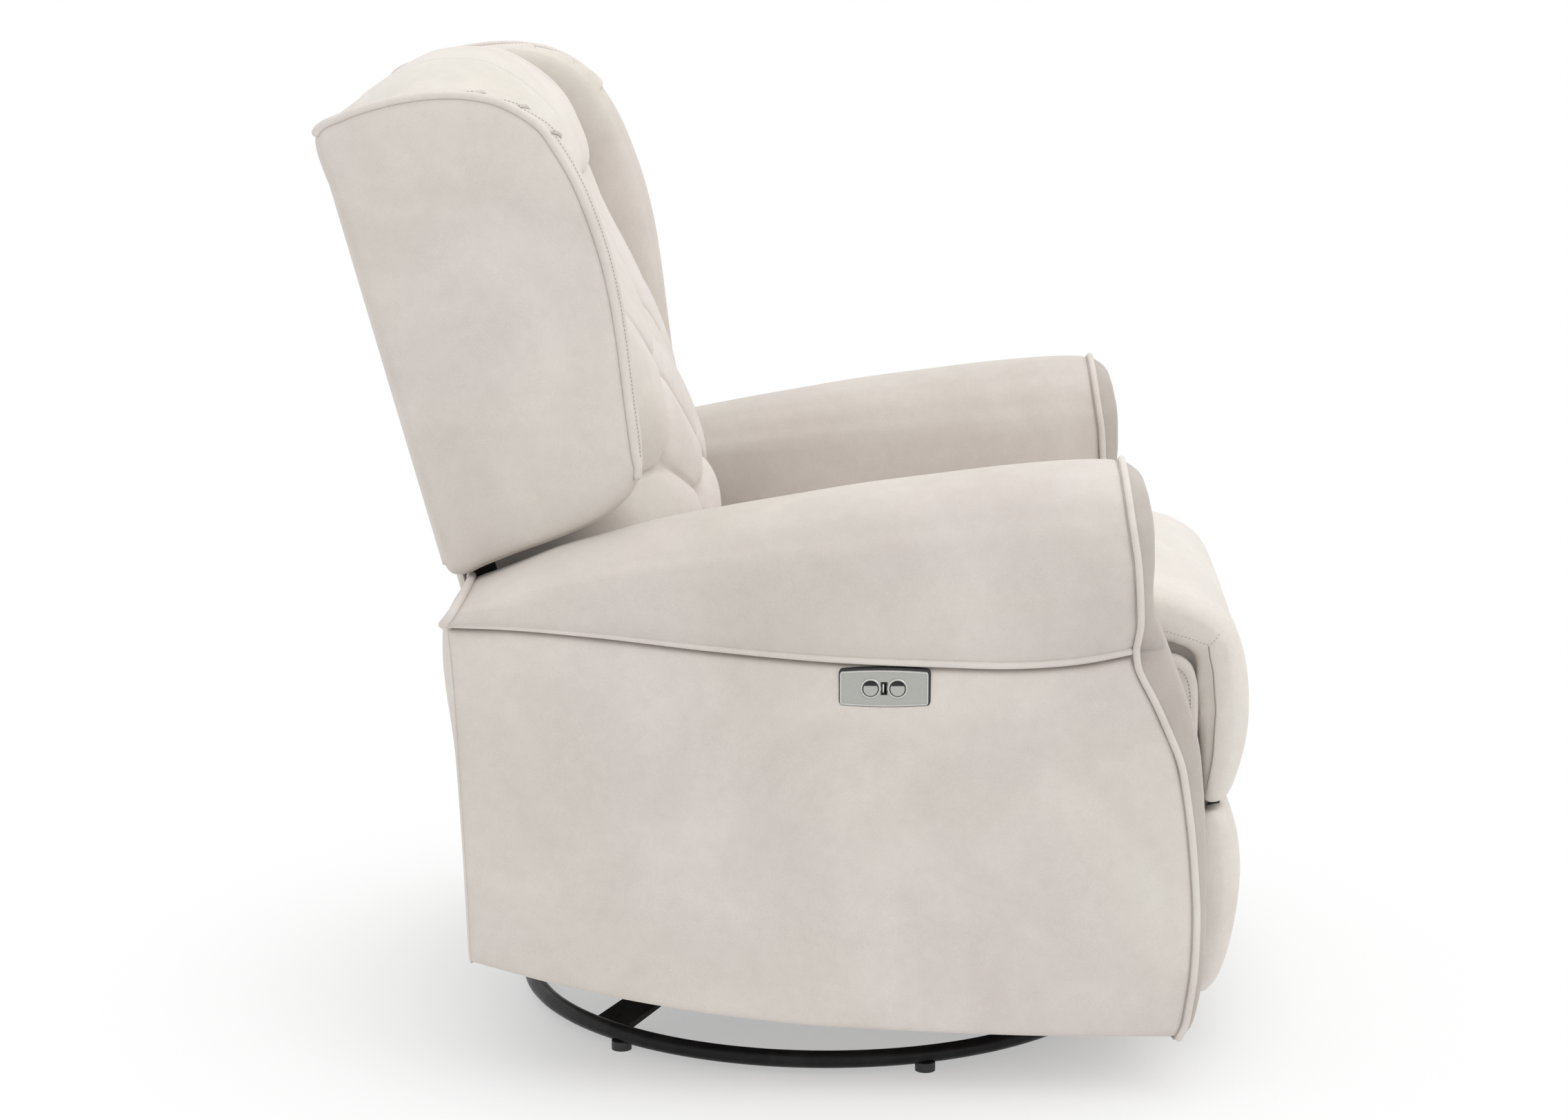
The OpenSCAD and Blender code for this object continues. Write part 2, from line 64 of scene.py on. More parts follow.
ARM_MID, ARM_HALF = 333.0, 85.0      # middle and half width of an arm roll
SIDE_FACE = 402.0                    # face of an outer side panel
# PLEAT_R is the radius of the thin dark line of painted shade laid along a pleat's crease.
WELT_R, PLEAT_R = 4.6, 0.8           # radius of the piping, and of a pleat's crease
LEAN = math.radians(15.34)           # lean of the back
SEAT_HALF = 244.0                    # half width of the seat and the leg rest
ROLL_REAR, ROLL_FRONT = -378, 322    # f of an arm roll's rear panel and of its front seam
FACING_IN, FACING_OUT = 250.0, 401.5  # x of a front facing's inner and outer edge
BACK_FOOT = (-392, 536)              # foot of the back's rear face, as (f, z)
CROWN_SEAM = 73                      # distance of the crown's two seams from its middle


# ---- Curves and surfaces ------------------------------------------------------------------------

def smooth(xs, ys):
    """A smooth function through the points (xs, ys), straight beyond their ends."""
    xs, ys = np.array(xs, float), np.array(ys, float)
    slope = np.gradient(ys, xs)

    def at(x):
        x = np.clip(np.asarray(x, float), xs[0], xs[-1])
        i = np.clip(np.searchsorted(xs, x) - 1, 0, len(xs) - 2)
        h = xs[i + 1] - xs[i]
        t = (x - xs[i]) / h
        return ((2 * t**3 - 3 * t**2 + 1) * ys[i] + (t**3 - 2 * t**2 + t) * h * slope[i]
                + (-2 * t**3 + 3 * t**2) * ys[i + 1] + (t**3 - t**2) * h * slope[i + 1])
    return at


def along(points, n, closed=False):
    """n points evenly spaced on a smooth curve through the given ones."""
    p = np.array(points, float)
    if closed:
        p = np.vstack([p[-2:], p, p[:3]])
    step = np.linalg.norm(np.diff(p, axis=0), axis=1) ** 0.5
    t = np.concatenate([[0], np.cumsum(step)])
    dense = np.linspace(t[2] if closed else 0, t[-3] if closed else t[-1], 40 * len(p))
    fine = np.stack([smooth(t, p[:, k])(dense) for k in range(p.shape[1])], axis=1)
    s = arc_length(fine)
    want = np.linspace(0, s[-1], n + 1)[:-1] if closed else np.linspace(0, s[-1], n)
    return np.stack([np.interp(want, s, fine[:, k]) for k in range(p.shape[1])], axis=1)


def unit(rows):
    """Each row scaled to length 1."""
    return rows / np.linalg.norm(rows, axis=1)[:, None]


def arc_length(points):
    """The distance along a line of points, at each of them."""
    return np.concatenate([[0], np.cumsum(np.linalg.norm(np.diff(points, axis=0), axis=1))])


def at_x(x, ring):
    """Rows of (x, f, z) from rows of (f, z)."""
    return np.concatenate([np.full((len(ring), 1), float(x)), ring], axis=1)


def clustered(n, power=2.2):
    """Parameters from 0 to 1 that crowd towards both ends."""
    t = np.linspace(-1, 1, n)
    return 0.5 + 0.5 * np.sign(t) * (1 - (1 - np.abs(t)) ** power)


def edge_round(d, r):
    """0 at an edge, rising to 1 within about two r of it."""
    return 1 - np.exp(-np.maximum(d, 0) / r)


def step_up(x, low, high):
    t = np.clip((x - low) / (high - low), 0, 1)
    return t * t * (3 - 2 * t)


def coons(bottom, top, left, right, us, vs):
    """A patch between four boundary functions of 0..1, sampled at us by vs."""
    b, t = bottom(us), top(us)
    l, r = left(vs), right(vs)
    u, v = us[:, None, None], vs[None, :, None]
    ruled = (1 - v) * b[:, None] + v * t[:, None] + (1 - u) * l[None] + u * r[None]
    corners = ((1 - u) * (1 - v) * b[0] + u * (1 - v) * b[-1]
               + (1 - u) * v * t[0] + u * v * t[-1])
    return ruled - corners


def on_path(points):
    """A function of 0..1 along a smooth curve through the points."""
    fine = along(points, 200)
    t = np.linspace(0, 1, 200)
    return lambda s: np.stack([np.interp(s, t, fine[:, k]) for k in range(fine.shape[1])], axis=-1)


# ---- Making objects -----------------------------------------------------------------------------

def to_world(points):
    """(x, f, z) in millimetres to the model's metres."""
    p = np.asarray(points, float).reshape(-1, 3)
    return np.stack([p[:, 0], -p[:, 1], p[:, 2]], axis=1) / 1000


def show(obj):
    bpy.context.scene.collection.objects.link(obj)


def smooth_faces(mesh, smooth=True):
    for poly in mesh.polygons:
        poly.use_smooth = smooth


def new_mesh(name, points, faces, material):
    mesh = bpy.data.meshes.new(name)
    mesh.from_pydata([tuple(v) for v in to_world(points)], [], faces)
    mesh.validate()
    tidy = bmesh.new()
    tidy.from_mesh(mesh)
    bmesh.ops.remove_doubles(tidy, verts=tidy.verts, dist=2e-5)
    bmesh.ops.recalc_face_normals(tidy, faces=tidy.faces)
    tidy.to_mesh(mesh)
    tidy.free()
    smooth_faces(mesh)
    obj = bpy.data.objects.new(name, mesh)
    show(obj)
    mesh.materials.append(material)
    return obj


def grid_faces(nu, nv, wrap_u=False, wrap_v=False, base=0):
    faces = []
    for i in range(nu if wrap_u else nu - 1):
        for j in range(nv if wrap_v else nv - 1):
            a, b = i * nv + j, i * nv + (j + 1) % nv
            c, d = ((i + 1) % nu) * nv + (j + 1) % nv, ((i + 1) % nu) * nv + j
            faces.append(tuple(base + k for k in (a, b, c, d)))
    return faces


def sheet_piece(name, grid, material, wrap_u=False, wrap_v=False,
                close_ends=False, thickness=None):
    """A piece from rows of points.

    close_ends puts a fan on the first and last row; thickness, in metres, gives it a back face.
    """
    nu, nv = grid.shape[:2]
    points = grid.reshape(-1, 3)
    faces = grid_faces(nu, nv, wrap_u, wrap_v)
    if close_ends:
        middles = np.stack([grid[0].mean(axis=0), grid[-1].mean(axis=0)])
        points = np.vstack([points, middles])
        n = nu * nv
        for j in range(nv if wrap_v else nv - 1):
            k = (j + 1) % nv
            faces.append((k, j, n))
            faces.append(((nu - 1) * nv + j, (nu - 1) * nv + k, n + 1))
    obj = new_mesh(name, points, faces, material)
    if thickness:
        thicken(obj, thickness)
    return obj


def mirrored(points, side):
    p = np.array(points, float)
    p[..., 0] *= side
    return p


def subdivide(obj):
    mod = obj.modifiers.new("smooth", "SUBSURF")
    mod.levels = mod.render_levels = 1
    apply_modifiers(obj)


def apply_modifiers(obj):
    bpy.context.view_layer.update()
    done = bpy.data.meshes.new_from_object(obj.evaluated_get(bpy.context.evaluated_depsgraph_get()))
    obj.modifiers.clear()
    old = obj.data
    obj.data = done
    bpy.data.meshes.remove(old)


def thicken(obj, thickness):
    """Gives an open sheet a back face, on the inside."""
    mod = obj.modifiers.new("back", "SOLIDIFY")
    mod.thickness = thickness
    mod.offset = -1 if outward(obj) else 1
    apply_modifiers(obj)
    smooth_faces(obj.data)


def outward(obj):
    """Whether the sheet's normals point away from the chair's middle."""
    total = 0.0
    middle = Vector((0, 0, 0.45))
    for poly in obj.data.polygons:
        total += poly.area * poly.normal.dot(poly.center - middle)
    return total > 0


def tube(name, path, radius, material, sides=12):
    """A round cord along a path, with domed ends."""
    p = np.array(path, float)
    tangent = unit(np.gradient(p, axis=0))
    normal = np.cross(tangent[0], [0.31, 0.22, 0.93])
    rows = []
    for c, t in zip(p, tangent):
        normal = normal - t * normal.dot(t)
        normal /= np.linalg.norm(normal)
        side = np.cross(t, normal)
        a = np.linspace(0, 2 * math.pi, sides, endpoint=False)[:, None]
        rows.append(c + radius * (np.cos(a) * normal + np.sin(a) * side))
    rows = np.array(rows)
    dome = [(k, radius * math.sqrt(1 - k * k)) for k in (0.35, 0.75, 0.97)]
    first = [p[0] - tangent[0] * out + (rows[0] - p[0]) * k for k, out in dome]
    last = [p[-1] + tangent[-1] * out + (rows[-1] - p[-1]) * k for k, out in reversed(dome)]
    return sheet_piece(name, np.concatenate([first, rows, last]), material, wrap_v=True,
                       close_ends=True)


def stitches(name, path, length=2.6, pitch=4.2, radius=0.42):
    """A row of thread stitches lying along a path."""
    p = np.array(path, float)
    s = arc_length(p)
    points, faces = [], []
    ring = [(math.cos(a), math.sin(a)) for a in np.linspace(0, 2 * math.pi, 6, endpoint=False)]
    for start in np.arange(pitch, s[-1] - pitch, pitch):
        knots = start + length * np.array([0, 0.2, 0.8, 1.0])
        centre = np.stack([np.interp(knots, s, p[:, k]) for k in range(3)], axis=1)
        t = centre[-1] - centre[0]
        t /= np.linalg.norm(t)
        n = np.cross(t, [0.3, 0.5, 0.8])
        n /= np.linalg.norm(n)
        b = np.cross(t, n)
        base = len(points)
        for c, w in zip(centre, (0.35, 1, 1, 0.35)):
            points += [c + radius * w * (u * n + v * b) for u, v in ring]
        faces += grid_faces(4, 6, wrap_v=True, base=base)
        faces.append(tuple(base + k for k in reversed(range(6))))
        faces.append(tuple(base + 18 + k for k in range(6)))
    return new_mesh(name, np.array(points), faces, THREAD_AND_PAINTED_SHADE)


def inflate(obj, voxel, pressure=3.0, frames=16, cap=0.006, stiffness=20.0):
    """Blows a closed pad up with Blender's cloth, capping how far a point may move."""
    remesh = obj.modifiers.new("even", "REMESH")
    remesh.mode = "VOXEL"
    remesh.voxel_size = voxel
    remesh.use_smooth_shade = True
    apply_modifiers(obj)
    mesh = obj.data
    n = len(mesh.vertices)
    before = np.empty(n * 3)
    mesh.vertices.foreach_get("co", before)
    before = before.reshape(-1, 3)
    cloth = obj.modifiers.new("cloth", "CLOTH")
    cfg = cloth.settings
    cfg.quality = 6
    cfg.mass = 0.25
    cfg.tension_stiffness = cfg.compression_stiffness = stiffness
    cfg.shear_stiffness = stiffness * 0.6
    cfg.bending_stiffness = 2.0
    cfg.use_pressure = True
    cfg.uniform_pressure_force = pressure
    cfg.effector_weights.gravity = 0
    scene = bpy.context.scene
    for number in range(1, frames + 1):
        scene.frame_set(number)
    graph = bpy.context.evaluated_depsgraph_get()
    after = np.empty(n * 3)
    obj.evaluated_get(graph).to_mesh().vertices.foreach_get("co", after)
    after = after.reshape(-1, 3)
    scene.frame_set(1)
    obj.modifiers.remove(cloth)
    move = after - before
    far = np.linalg.norm(move, axis=1)
    move *= (cap * np.tanh(far / cap) / np.maximum(far, 1e-9))[:, None]
    mesh.vertices.foreach_set("co", (before + move).ravel())
    mesh.update()
    smooth_faces(mesh)


# ---- Materials ----------------------------------------------------------------------------------

def node_material(name, space="Object"):
    """A new material, its node tree, its shader and the coordinates of the given space."""
    mat = bpy.data.materials.new(name)
    mat.use_nodes = True
    tree = mat.node_tree
    coords = tree.nodes.new("ShaderNodeTexCoord").outputs[space]
    return mat, tree, tree.nodes["Principled BSDF"], coords


def feed(tree, node, values):
    """Fills a node's inputs: a socket is linked, and anything else is the value itself."""
    for key, value in values.items():
        if isinstance(value, bpy.types.NodeSocket):
            tree.links.new(value, node.inputs[key])
        else:
            node.inputs[key].default_value = value


def grey(level):
    return (level, level, level, 1)


def mix_colour(tree, factor, a, b, mode="MIX"):
    node = tree.nodes.new("ShaderNodeMix")
    node.data_type = "RGBA"
    node.blend_type = mode
    feed(tree, node, {0: factor, 6: a, 7: b})
    return node.outputs[2]


def noise(tree, coords, scale, detail=3.0, rough=0.55, distortion=0.0):
    node = tree.nodes.new("ShaderNodeTexNoise")
    feed(tree, node, {"Vector": coords, "Scale": scale, "Detail": detail, "Roughness": rough,
                      "Distortion": distortion})
    return node.outputs["Fac"]


def ramp(tree, value, low, high, colours=(grey(0), grey(1))):
    """A value turned into a colour between two: the first up to low, the second from high on."""
    node = tree.nodes.new("ShaderNodeValToRGB")
    for stop, position, colour in zip(node.color_ramp.elements, (low, high), colours):
        stop.position = position
        stop.color = colour
    tree.links.new(value, node.inputs[0])
    return node.outputs[0]


def math_node(tree, operation, a, b):
    node = tree.nodes.new("ShaderNodeMath")
    node.operation = operation
    feed(tree, node, {0: a, 1: b})
    return node.outputs[0]


def bump(tree, shader, height, strength, distance):
    node = tree.nodes.new("ShaderNodeBump")
    feed(tree, node, {"Strength": strength, "Distance": distance, "Height": height})
    feed(tree, shader, {"Normal": node.outputs[0]})


def velvet(name, light=(0.705, 0.668, 0.632, 1), dark=(0.625, 0.583, 0.546, 1)):
    """Brushed velvet: cloudy nap with pink and green casts, fine pile, and a soft sheen."""
    mat, tree, shader, coords = node_material(name)
    cloud = ramp(tree, noise(tree, coords, 5.5, 4.0, 0.55, 0.6), 0.34, 0.68)
    base = mix_colour(tree, cloud, dark, light)
    cast = ramp(tree, noise(tree, coords, 3.1, 2.0, 0.5, 0.4), 0.35, 0.65,
                ((0.985, 0.955, 0.960, 1), (0.975, 0.985, 0.945, 1)))
    tinted = mix_colour(tree, 0.8, base, cast, "MULTIPLY")
    pile = noise(tree, coords, 900, 2.0, 0.6)
    fleck = ramp(tree, pile, 0.3, 0.7, (grey(0.93), grey(1.03)))
    brushed = noise(tree, coords, 70, 3.0, 0.6, 0.3)
    marks = ramp(tree, brushed, 0.25, 0.75, (grey(0.965), grey(1.02)))
    napped = mix_colour(tree, 1.0, tinted, fleck, "MULTIPLY")
    rough = tree.nodes.new("ShaderNodeMapRange")
    feed(tree, rough, {"Value": brushed, "To Min": 0.78, "To Max": 0.94})
    feed(tree, shader, {"Base Color": mix_colour(tree, 1.0, napped, marks, "MULTIPLY"),
                        "Roughness": rough.outputs[0], "Sheen Weight": 0.22,
                        "Sheen Roughness": 0.35, "Sheen Tint": (1.0, 0.985, 0.965, 1),
                        "Specular IOR Level": 0.25})
    height = math_node(tree, "ADD", math_node(tree, "MULTIPLY", pile, 0.35),
                       math_node(tree, "MULTIPLY", noise(tree, coords, 24, 3.0, 0.5), 0.9))
    bump(tree, shader, height, 0.35, 0.0012)
    return mat


def thread_and_painted_shade_material():
    mat, tree, shader, coords = node_material("thread")
    twist = ramp(tree, noise(tree, coords, 1500, 1.0), 0.3, 0.7,
                 ((0.30, 0.27, 0.24, 1), (0.42, 0.38, 0.34, 1)))
    feed(tree, shader, {"Base Color": twist, "Roughness": 0.7})
    return mat


def enamel():
    """Semi-gloss black enamel with a little orange peel and dust."""
    mat, tree, shader, coords = node_material("black_enamel")
    peel = noise(tree, coords, 260, 2.0)
    dust = ramp(tree, noise(tree, coords, 18, 4.0, 0.65), 0.45, 0.75,
                ((0.008, 0.008, 0.009, 1), (0.022, 0.021, 0.020, 1)))
    rough = ramp(tree, noise(tree, coords, 30, 3.0), 0.3, 0.7, (grey(0.24), grey(0.42)))
    feed(tree, shader, {"Base Color": dust, "Roughness": rough, "Specular IOR Level": 0.17})
    bump(tree, shader, peel, 0.12, 0.0006)
    return mat


def stretched(tree, coords, scale):
    """Coordinates scaled differently along each axis."""
    node = tree.nodes.new("ShaderNodeMapping")
    node.inputs["Scale"].default_value = scale
    tree.links.new(coords, node.inputs["Vector"])
    return node.outputs[0]


def metal(name, dark, light, roughness, scale=(6, 6, 320), metallic=1.0):
    """Brushed or plated metal with streaks along one direction."""
    mat, tree, shader, coords = node_material(name)
    streak = noise(tree, stretched(tree, coords, scale), 1.0, 4.0, 0.7)
    feed(tree, shader, {"Base Color": ramp(tree, streak, 0.3, 0.7, (dark + (1,), light + (1,))),
                        "Metallic": metallic,
                        "Roughness": ramp(tree, streak, 0.2, 0.8, [grey(r) for r in roughness])})
    bump(tree, shader, streak, 0.08, 0.0003)
    return mat


def plywood():
    mat, tree, shader, coords = node_material("bare_plywood")
    grain = noise(tree, stretched(tree, coords, (14, 2.2, 14)), 5.0, 6.0, 0.65, 1.4)
    wood = ramp(tree, grain, 0.3, 0.72, ((0.36, 0.23, 0.12, 1), (0.66, 0.48, 0.29, 1)))
    feed(tree, shader, {"Base Color": wood, "Roughness": 0.68})
    bump(tree, shader, grain, 0.2, 0.0006)
    return mat


def plastic(name, colour, rough):
    mat, tree, shader, coords = node_material(name)
    grain = noise(tree, coords, 1400, 2.0)
    tone = ramp(tree, noise(tree, coords, 9, 3.0), 0.3, 0.7,
                (tuple(0.85 * c for c in colour) + (1,), colour + (1,)))
    feed(tree, shader, {"Base Color": tone, "Roughness": rough})
    bump(tree, shader, grain, 0.15, 0.0002)
    return mat


def chrome_with_painted_reflection():
    """Satin chrome that darkens in a crescent along the top of the button: a painted reflection of
    dark surroundings.
    """
    mat, tree, shader, coords = node_material("chrome", "Generated")
    split = tree.nodes.new("ShaderNodeSeparateXYZ")
    tree.links.new(coords, split.inputs[0])
    wobble = math_node(tree, "MULTIPLY", noise(tree, coords, 3.0, 2.0), 0.03)
    height = math_node(tree, "ADD", split.outputs["Z"], wobble)
    # Painted reflection: near-black over the top of the button, mid grey below.
    crescent = ramp(tree, height, 0.70, 0.76, ((0.44, 0.44, 0.42, 1), grey(0.035)))
    feed(tree, shader, {"Base Color": crescent, "Metallic": 0.85, "Roughness": 0.28})
    return mat


MATERIALS = {
    "velvet": velvet("velvet_nap"),
    "black_paint": enamel(),
    "foot_plastic": plastic("foot_plastic_mat", (0.028, 0.028, 0.030), 0.55),
    "zinc_steel": metal("zinc", (0.42, 0.43, 0.45), (0.66, 0.67, 0.68), (0.26, 0.42)),
    "grey_steel": metal("powder_coat", (0.030, 0.031, 0.034), (0.055, 0.056, 0.060), (0.45, 0.6),
                        (90, 90, 90), 0.2),
    "plywood": plywood(),
    "control_silver": metal("silver_paint", (0.40, 0.40, 0.37), (0.45, 0.45, 0.42), (0.40, 0.50),
                            (500, 500, 500), 0.6),
    "button_chrome": chrome_with_painted_reflection(),
    "black_plastic": plastic("black_moulding", (0.020, 0.020, 0.022), 0.45),
    "track_aluminium": metal("extrusion", (0.58, 0.59, 0.60), (0.74, 0.75, 0.76), (0.30, 0.45),
                             (320, 4, 320)),
}
VELVET = MATERIALS["velvet"]
# Darker and lighter copies of the velvet, one for each kind of piece, are painted light and shade.
# The side panels and wings, the arm rolls and, darkest of all, the front facings and arm linings
# are painted darker, as if in shade. The seat, chaise, ottoman and seat deck are painted lighter,
# as if lit.
VELVET_SIDE_SHADED = velvet("velvet_side_shaded", (0.680, 0.640, 0.604, 1), (0.600, 0.556, 0.520, 1))
VELVET_ARM_SHADED = velvet("velvet_arm_shaded", (0.650, 0.612, 0.576, 1), (0.574, 0.532, 0.496, 1))
VELVET_FACING_SHADED = velvet("velvet_facing_shaded", (0.508, 0.470, 0.436, 1), (0.446, 0.406, 0.372, 1))
VELVET_SEAT_LIT = velvet("velvet_seat_lit", (0.758, 0.722, 0.688, 1), (0.676, 0.635, 0.599, 1))
# One dark brown serves as thread for the stitches, and as painted shade in the thin lines along the
# wing pleats' creases and the chaise's side seams.
THREAD_AND_PAINTED_SHADE = thread_and_painted_shade_material()
# A lighter copy of the silver paint, for the plate's lip, the button bezels and the port's tongue.
# On the lip its lightness is painted highlight, added to the light that the bevel really catches.
CONTROL_LIP = metal("silver_lip", (0.52, 0.52, 0.50), (0.60, 0.60, 0.58), (0.30, 0.40),
                    (500, 500, 500), 0.6)


def dress_cad_nodes():
    """Gives each carried-over CAD node the detailed material of its slot."""
    slots = {part["node"]: part["material_slot"] for part in frame["record"]["subparts"]}
    for name, obj in frame["nodes"].items():
        obj.data.materials.clear()
        obj.data.materials.append(MATERIALS[slots[name]])
        if slots[name] in ("grey_steel", "black_paint", "plywood"):
            smooth_faces(obj.data, False)


# ---- Outlines, as (f, z) ------------------------------------------------------------------------

crest_z = smooth([-390, -367, -325, -284, -234, -185, -119, -37, 45, 127, 208, 289, 325],
                 [533, 541, 558, 575, 590, 604, 618, 633, 647, 658, 668, 674, 674])
welt_z = smooth([-390, -319, -230, -116, 6, 128, 209, 273, 330],
                [511, 508.5, 501, 488, 477, 472, 471, 476.5, 488])
seam_f = smooth([60, 80, 102, 131, 169, 202, 249, 290, 332, 368, 400, 435, 462, 482],
                [377, 387, 391, 395, 397, 397, 394, 390, 384, 377, 364, 348, 334, 326])
facing_f = smooth([60, 77, 102, 137, 177, 210, 255, 299, 337, 385, 423, 461, 485, 505, 522, 540,
                   583, 633, 658, 672],
                  [392, 398, 404, 408.5, 410, 410, 409, 407, 404, 398, 387, 373, 364, 357, 350,
                   347, 347.5, 343.5, 335, 321])
ROLL = along([(67, 0.0), (78, 0.09), (84.5, 0.30), (83, 0.54), (70, 0.79), (46, 0.94), (20, 0.993),
              (0, 1.0), (-20, 0.993), (-46, 0.94), (-70, 0.79), (-83, 0.54), (-84.5, 0.30),
              (-84, 0.06)], 61)
roll_seam = smooth([0.0, 0.15, 0.32, 0.6, 0.85, 1.0], [326, 330, 331, 324, 317, 313])


def arm_contour(f):
    """The roll's outline at f, from the outer piping over the crest: rows of (x, z, height)."""
    low, high = welt_z(f), crest_z(f)
    z = low + (high - low) * ROLL[:, 1]
    return np.stack([ARM_MID + ROLL[:, 0], z, ROLL[:, 1]], axis=1)


# ---- Arms ---------------------------------------------------------------------------------------

def arm_roll(side, name):
    """The padded roll over the arm and its inner face, from the rear panel to the front seam."""
    rows = []
    ts = clustered(72, 1.6)
    for t in ts:
        mid = ROLL_REAR + t * (ROLL_FRONT - ROLL_REAR)
        c = arm_contour(mid)
        rear = -388 + 20 * np.where(c[:, 0] < ARM_MID, 1.0, c[:, 2])
        front = roll_seam(c[:, 2])
        f = rear + (front - rear) * t
        tuck = 5.0 * (1 - edge_round((1 - t) * 700, 3.5)) + 3.0 * (1 - edge_round(t * 700, 3.0))
        x = ARM_MID + (c[:, 0] - ARM_MID) * (1 - tuck / ARM_HALF)
        z = c[:, 1] - tuck * c[:, 2]
        inner_z = np.array([470, 420, 360, 300, 262])
        low = welt_z(mid)
        inner = [(x[-1], f[-1], z_in) for z_in in np.minimum(inner_z, low - 4)]
        under = np.array([[x[-1] + 14, f[-1], 262], [x[-1] + 14, f[-1], low - 6],
                          [ARM_MID, f[-1], low - 2], [x[0] - 8, f[0], low - 1]])
        rows.append(np.vstack([np.stack([x, f, z], axis=1), inner, under]))
    obj = sheet_piece(name, mirrored(rows, side), VELVET_ARM_SHADED, wrap_v=True, close_ends=True)
    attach(obj, "chassis")
    return obj


def side_panel(side, name):
    """The flat padded outer side, tucked in at all four edges."""
    rear = on_path([(-369, 143), (-373, 253), (-377, 338), (-382, 448), (-387, 508)])
    front = on_path([(seam_f(z), z) for z in (66, 80, 102, 135, 173, 216, 259, 300, 340, 380,
                                              410, 435, 460, 484)])
    foot = on_path([(-369, 143), (-270, 116), (-168, 95), (-35, 77), (81, 70), (231, 65.5),
                    (380, 66)])
    top_f = np.linspace(-387, seam_f(484), 40)
    top = on_path([(f, welt_z(f) - 2) for f in top_f])
    us, vs = clustered(90, 3.0), clustered(64, 3.0)
    patch = coons(foot, top, rear, front, us, vs)
    d_u = np.minimum(us, 1 - us)[:, None] * 750
    d_v = np.minimum(vs, 1 - vs)[None, :] * 410
    d = np.minimum(d_u, d_v)
    x = 388 + (SIDE_FACE - 388) * edge_round(d, 2.6) + 3.5 * edge_round(d, 55)
    grid = np.concatenate([x[..., None], patch], axis=2)
    obj = sheet_piece(name, mirrored(grid, side), VELVET_SIDE_SHADED)
    if side < 0:
        cut_for_controls(obj)
    thicken(obj, 0.006)
    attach(obj, "chassis")
    return obj


def cut_for_controls(obj):
    """Opens the side panel behind the control plate."""
    lo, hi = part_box("switch_plate")
    y0, y1, z0, z1 = lo[1] + 0.012, hi[1] - 0.012, lo[2] + 0.006, hi[2] - 0.006
    mesh = bmesh.new()
    mesh.from_mesh(obj.data)
    for axis, at in ((1, y0), (1, y1), (2, z0), (2, z1)):
        normal, place = [0, 0, 0], [0, 0, 0]
        normal[axis], place[axis] = 1, at
        bmesh.ops.bisect_plane(mesh, geom=mesh.verts[:] + mesh.edges[:] + mesh.faces[:],
                               plane_co=place, plane_no=normal)
    middles = {f: f.calc_center_median() for f in mesh.faces}
    inside = [f for f, mid in middles.items() if y0 < mid.y < y1 and z0 < mid.z < z1]
    bmesh.ops.delete(mesh, geom=inside, context="FACES")
    mesh.to_mesh(obj.data)
    mesh.free()


def arm_front(side, name):
    """The padded front facing, from the foot up to the crest of the roll."""
    c = arm_contour(ROLL_FRONT)
    crest = crest_z(ROLL_FRONT)
    weld = welt_z(ROLL_FRONT)
    zs = np.concatenate([66 + (weld - 66) * clustered(52, 1.6)[:-1],
                         weld + (crest - weld) * np.sin(np.linspace(0, math.pi / 2, 34))])
    half = len(c) // 2
    outer_x = np.where(zs < weld, FACING_OUT, np.interp(zs, c[:half + 1, 1], c[:half + 1, 0]))
    inner = c[half:][::-1]
    inner_x = np.where(zs < weld, FACING_IN, np.interp(zs, inner[:, 1], inner[:, 0]))
    pinch = 6 * np.exp(-((zs - weld) / 14) ** 2)
    outer_x = outer_x - pinch
    ws = clustered(46, 2.4)
    rows = []
    for z, xo, xi in zip(zs, outer_x, inner_x):
        x = xi + (xo - xi) * ws
        height = np.clip((z - weld) / (crest - weld), 0, 1)
        back = seam_f(z) if z < weld else roll_seam(height)
        front = facing_f(z)
        d = np.minimum(np.minimum(x - xi, xo - x), z - 66)
        if z > weld:
            d = np.minimum(d, (crest - z) * 1.2)
        f = back - 3 + (front - back + 3) * edge_round(d, 6.5)
        rows.append(np.stack([x, f, np.full_like(x, z)], axis=1))
    obj = sheet_piece(name, mirrored(rows, side), VELVET_FACING_SHADED, thickness=0.006)
    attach(obj, "chassis")
    return obj


def facing_outline():
    """The seam round the front facing, up the outside, over the crest and down the inside."""
    c = arm_contour(ROLL_FRONT)
    up = [(401, seam_f(z) + 1, z) for z in np.linspace(68, 470, 30)]
    over = [(x, roll_seam(h) + 2, z) for x, z, h in c[2:-1]]
    down = [(FACING_IN, seam_f(z) + 1, z) for z in np.linspace(460, 68, 30)]
    return np.array(up + over + down)


def arm_trim(side, tag):
    """Piping and stitching of one arm."""
    fs = np.linspace(-386, ROLL_FRONT, 110)
    run = [(SIDE_FACE + 0.5, f, welt_z(f) + 2.0) for f in fs]
    rear = arm_contour(ROLL_REAR)
    loop = [(x, -388 + 20 * h - 1.0, z + 1) for x, z, h in rear[3:-2]]
    path = along(np.array(list(reversed(loop)) + run), 260)
    pieces = [tube(f"arm_welt_{tag}", mirrored(path, side), WELT_R, VELVET)]
    outline = along(facing_outline(), 300)
    pieces.append(tube(f"facing_welt_{tag}", mirrored(outline, side), WELT_R - 0.8, VELVET))
    dots = [(ARM_MID + 74, f, welt_z(f) + WELT_R + 5.2) for f in np.linspace(-375, 312, 160)]
    pieces.append(stitches(f"arm_stitch_{tag}", mirrored(dots, side)))
    for piece in pieces:
        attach(piece, "chassis")


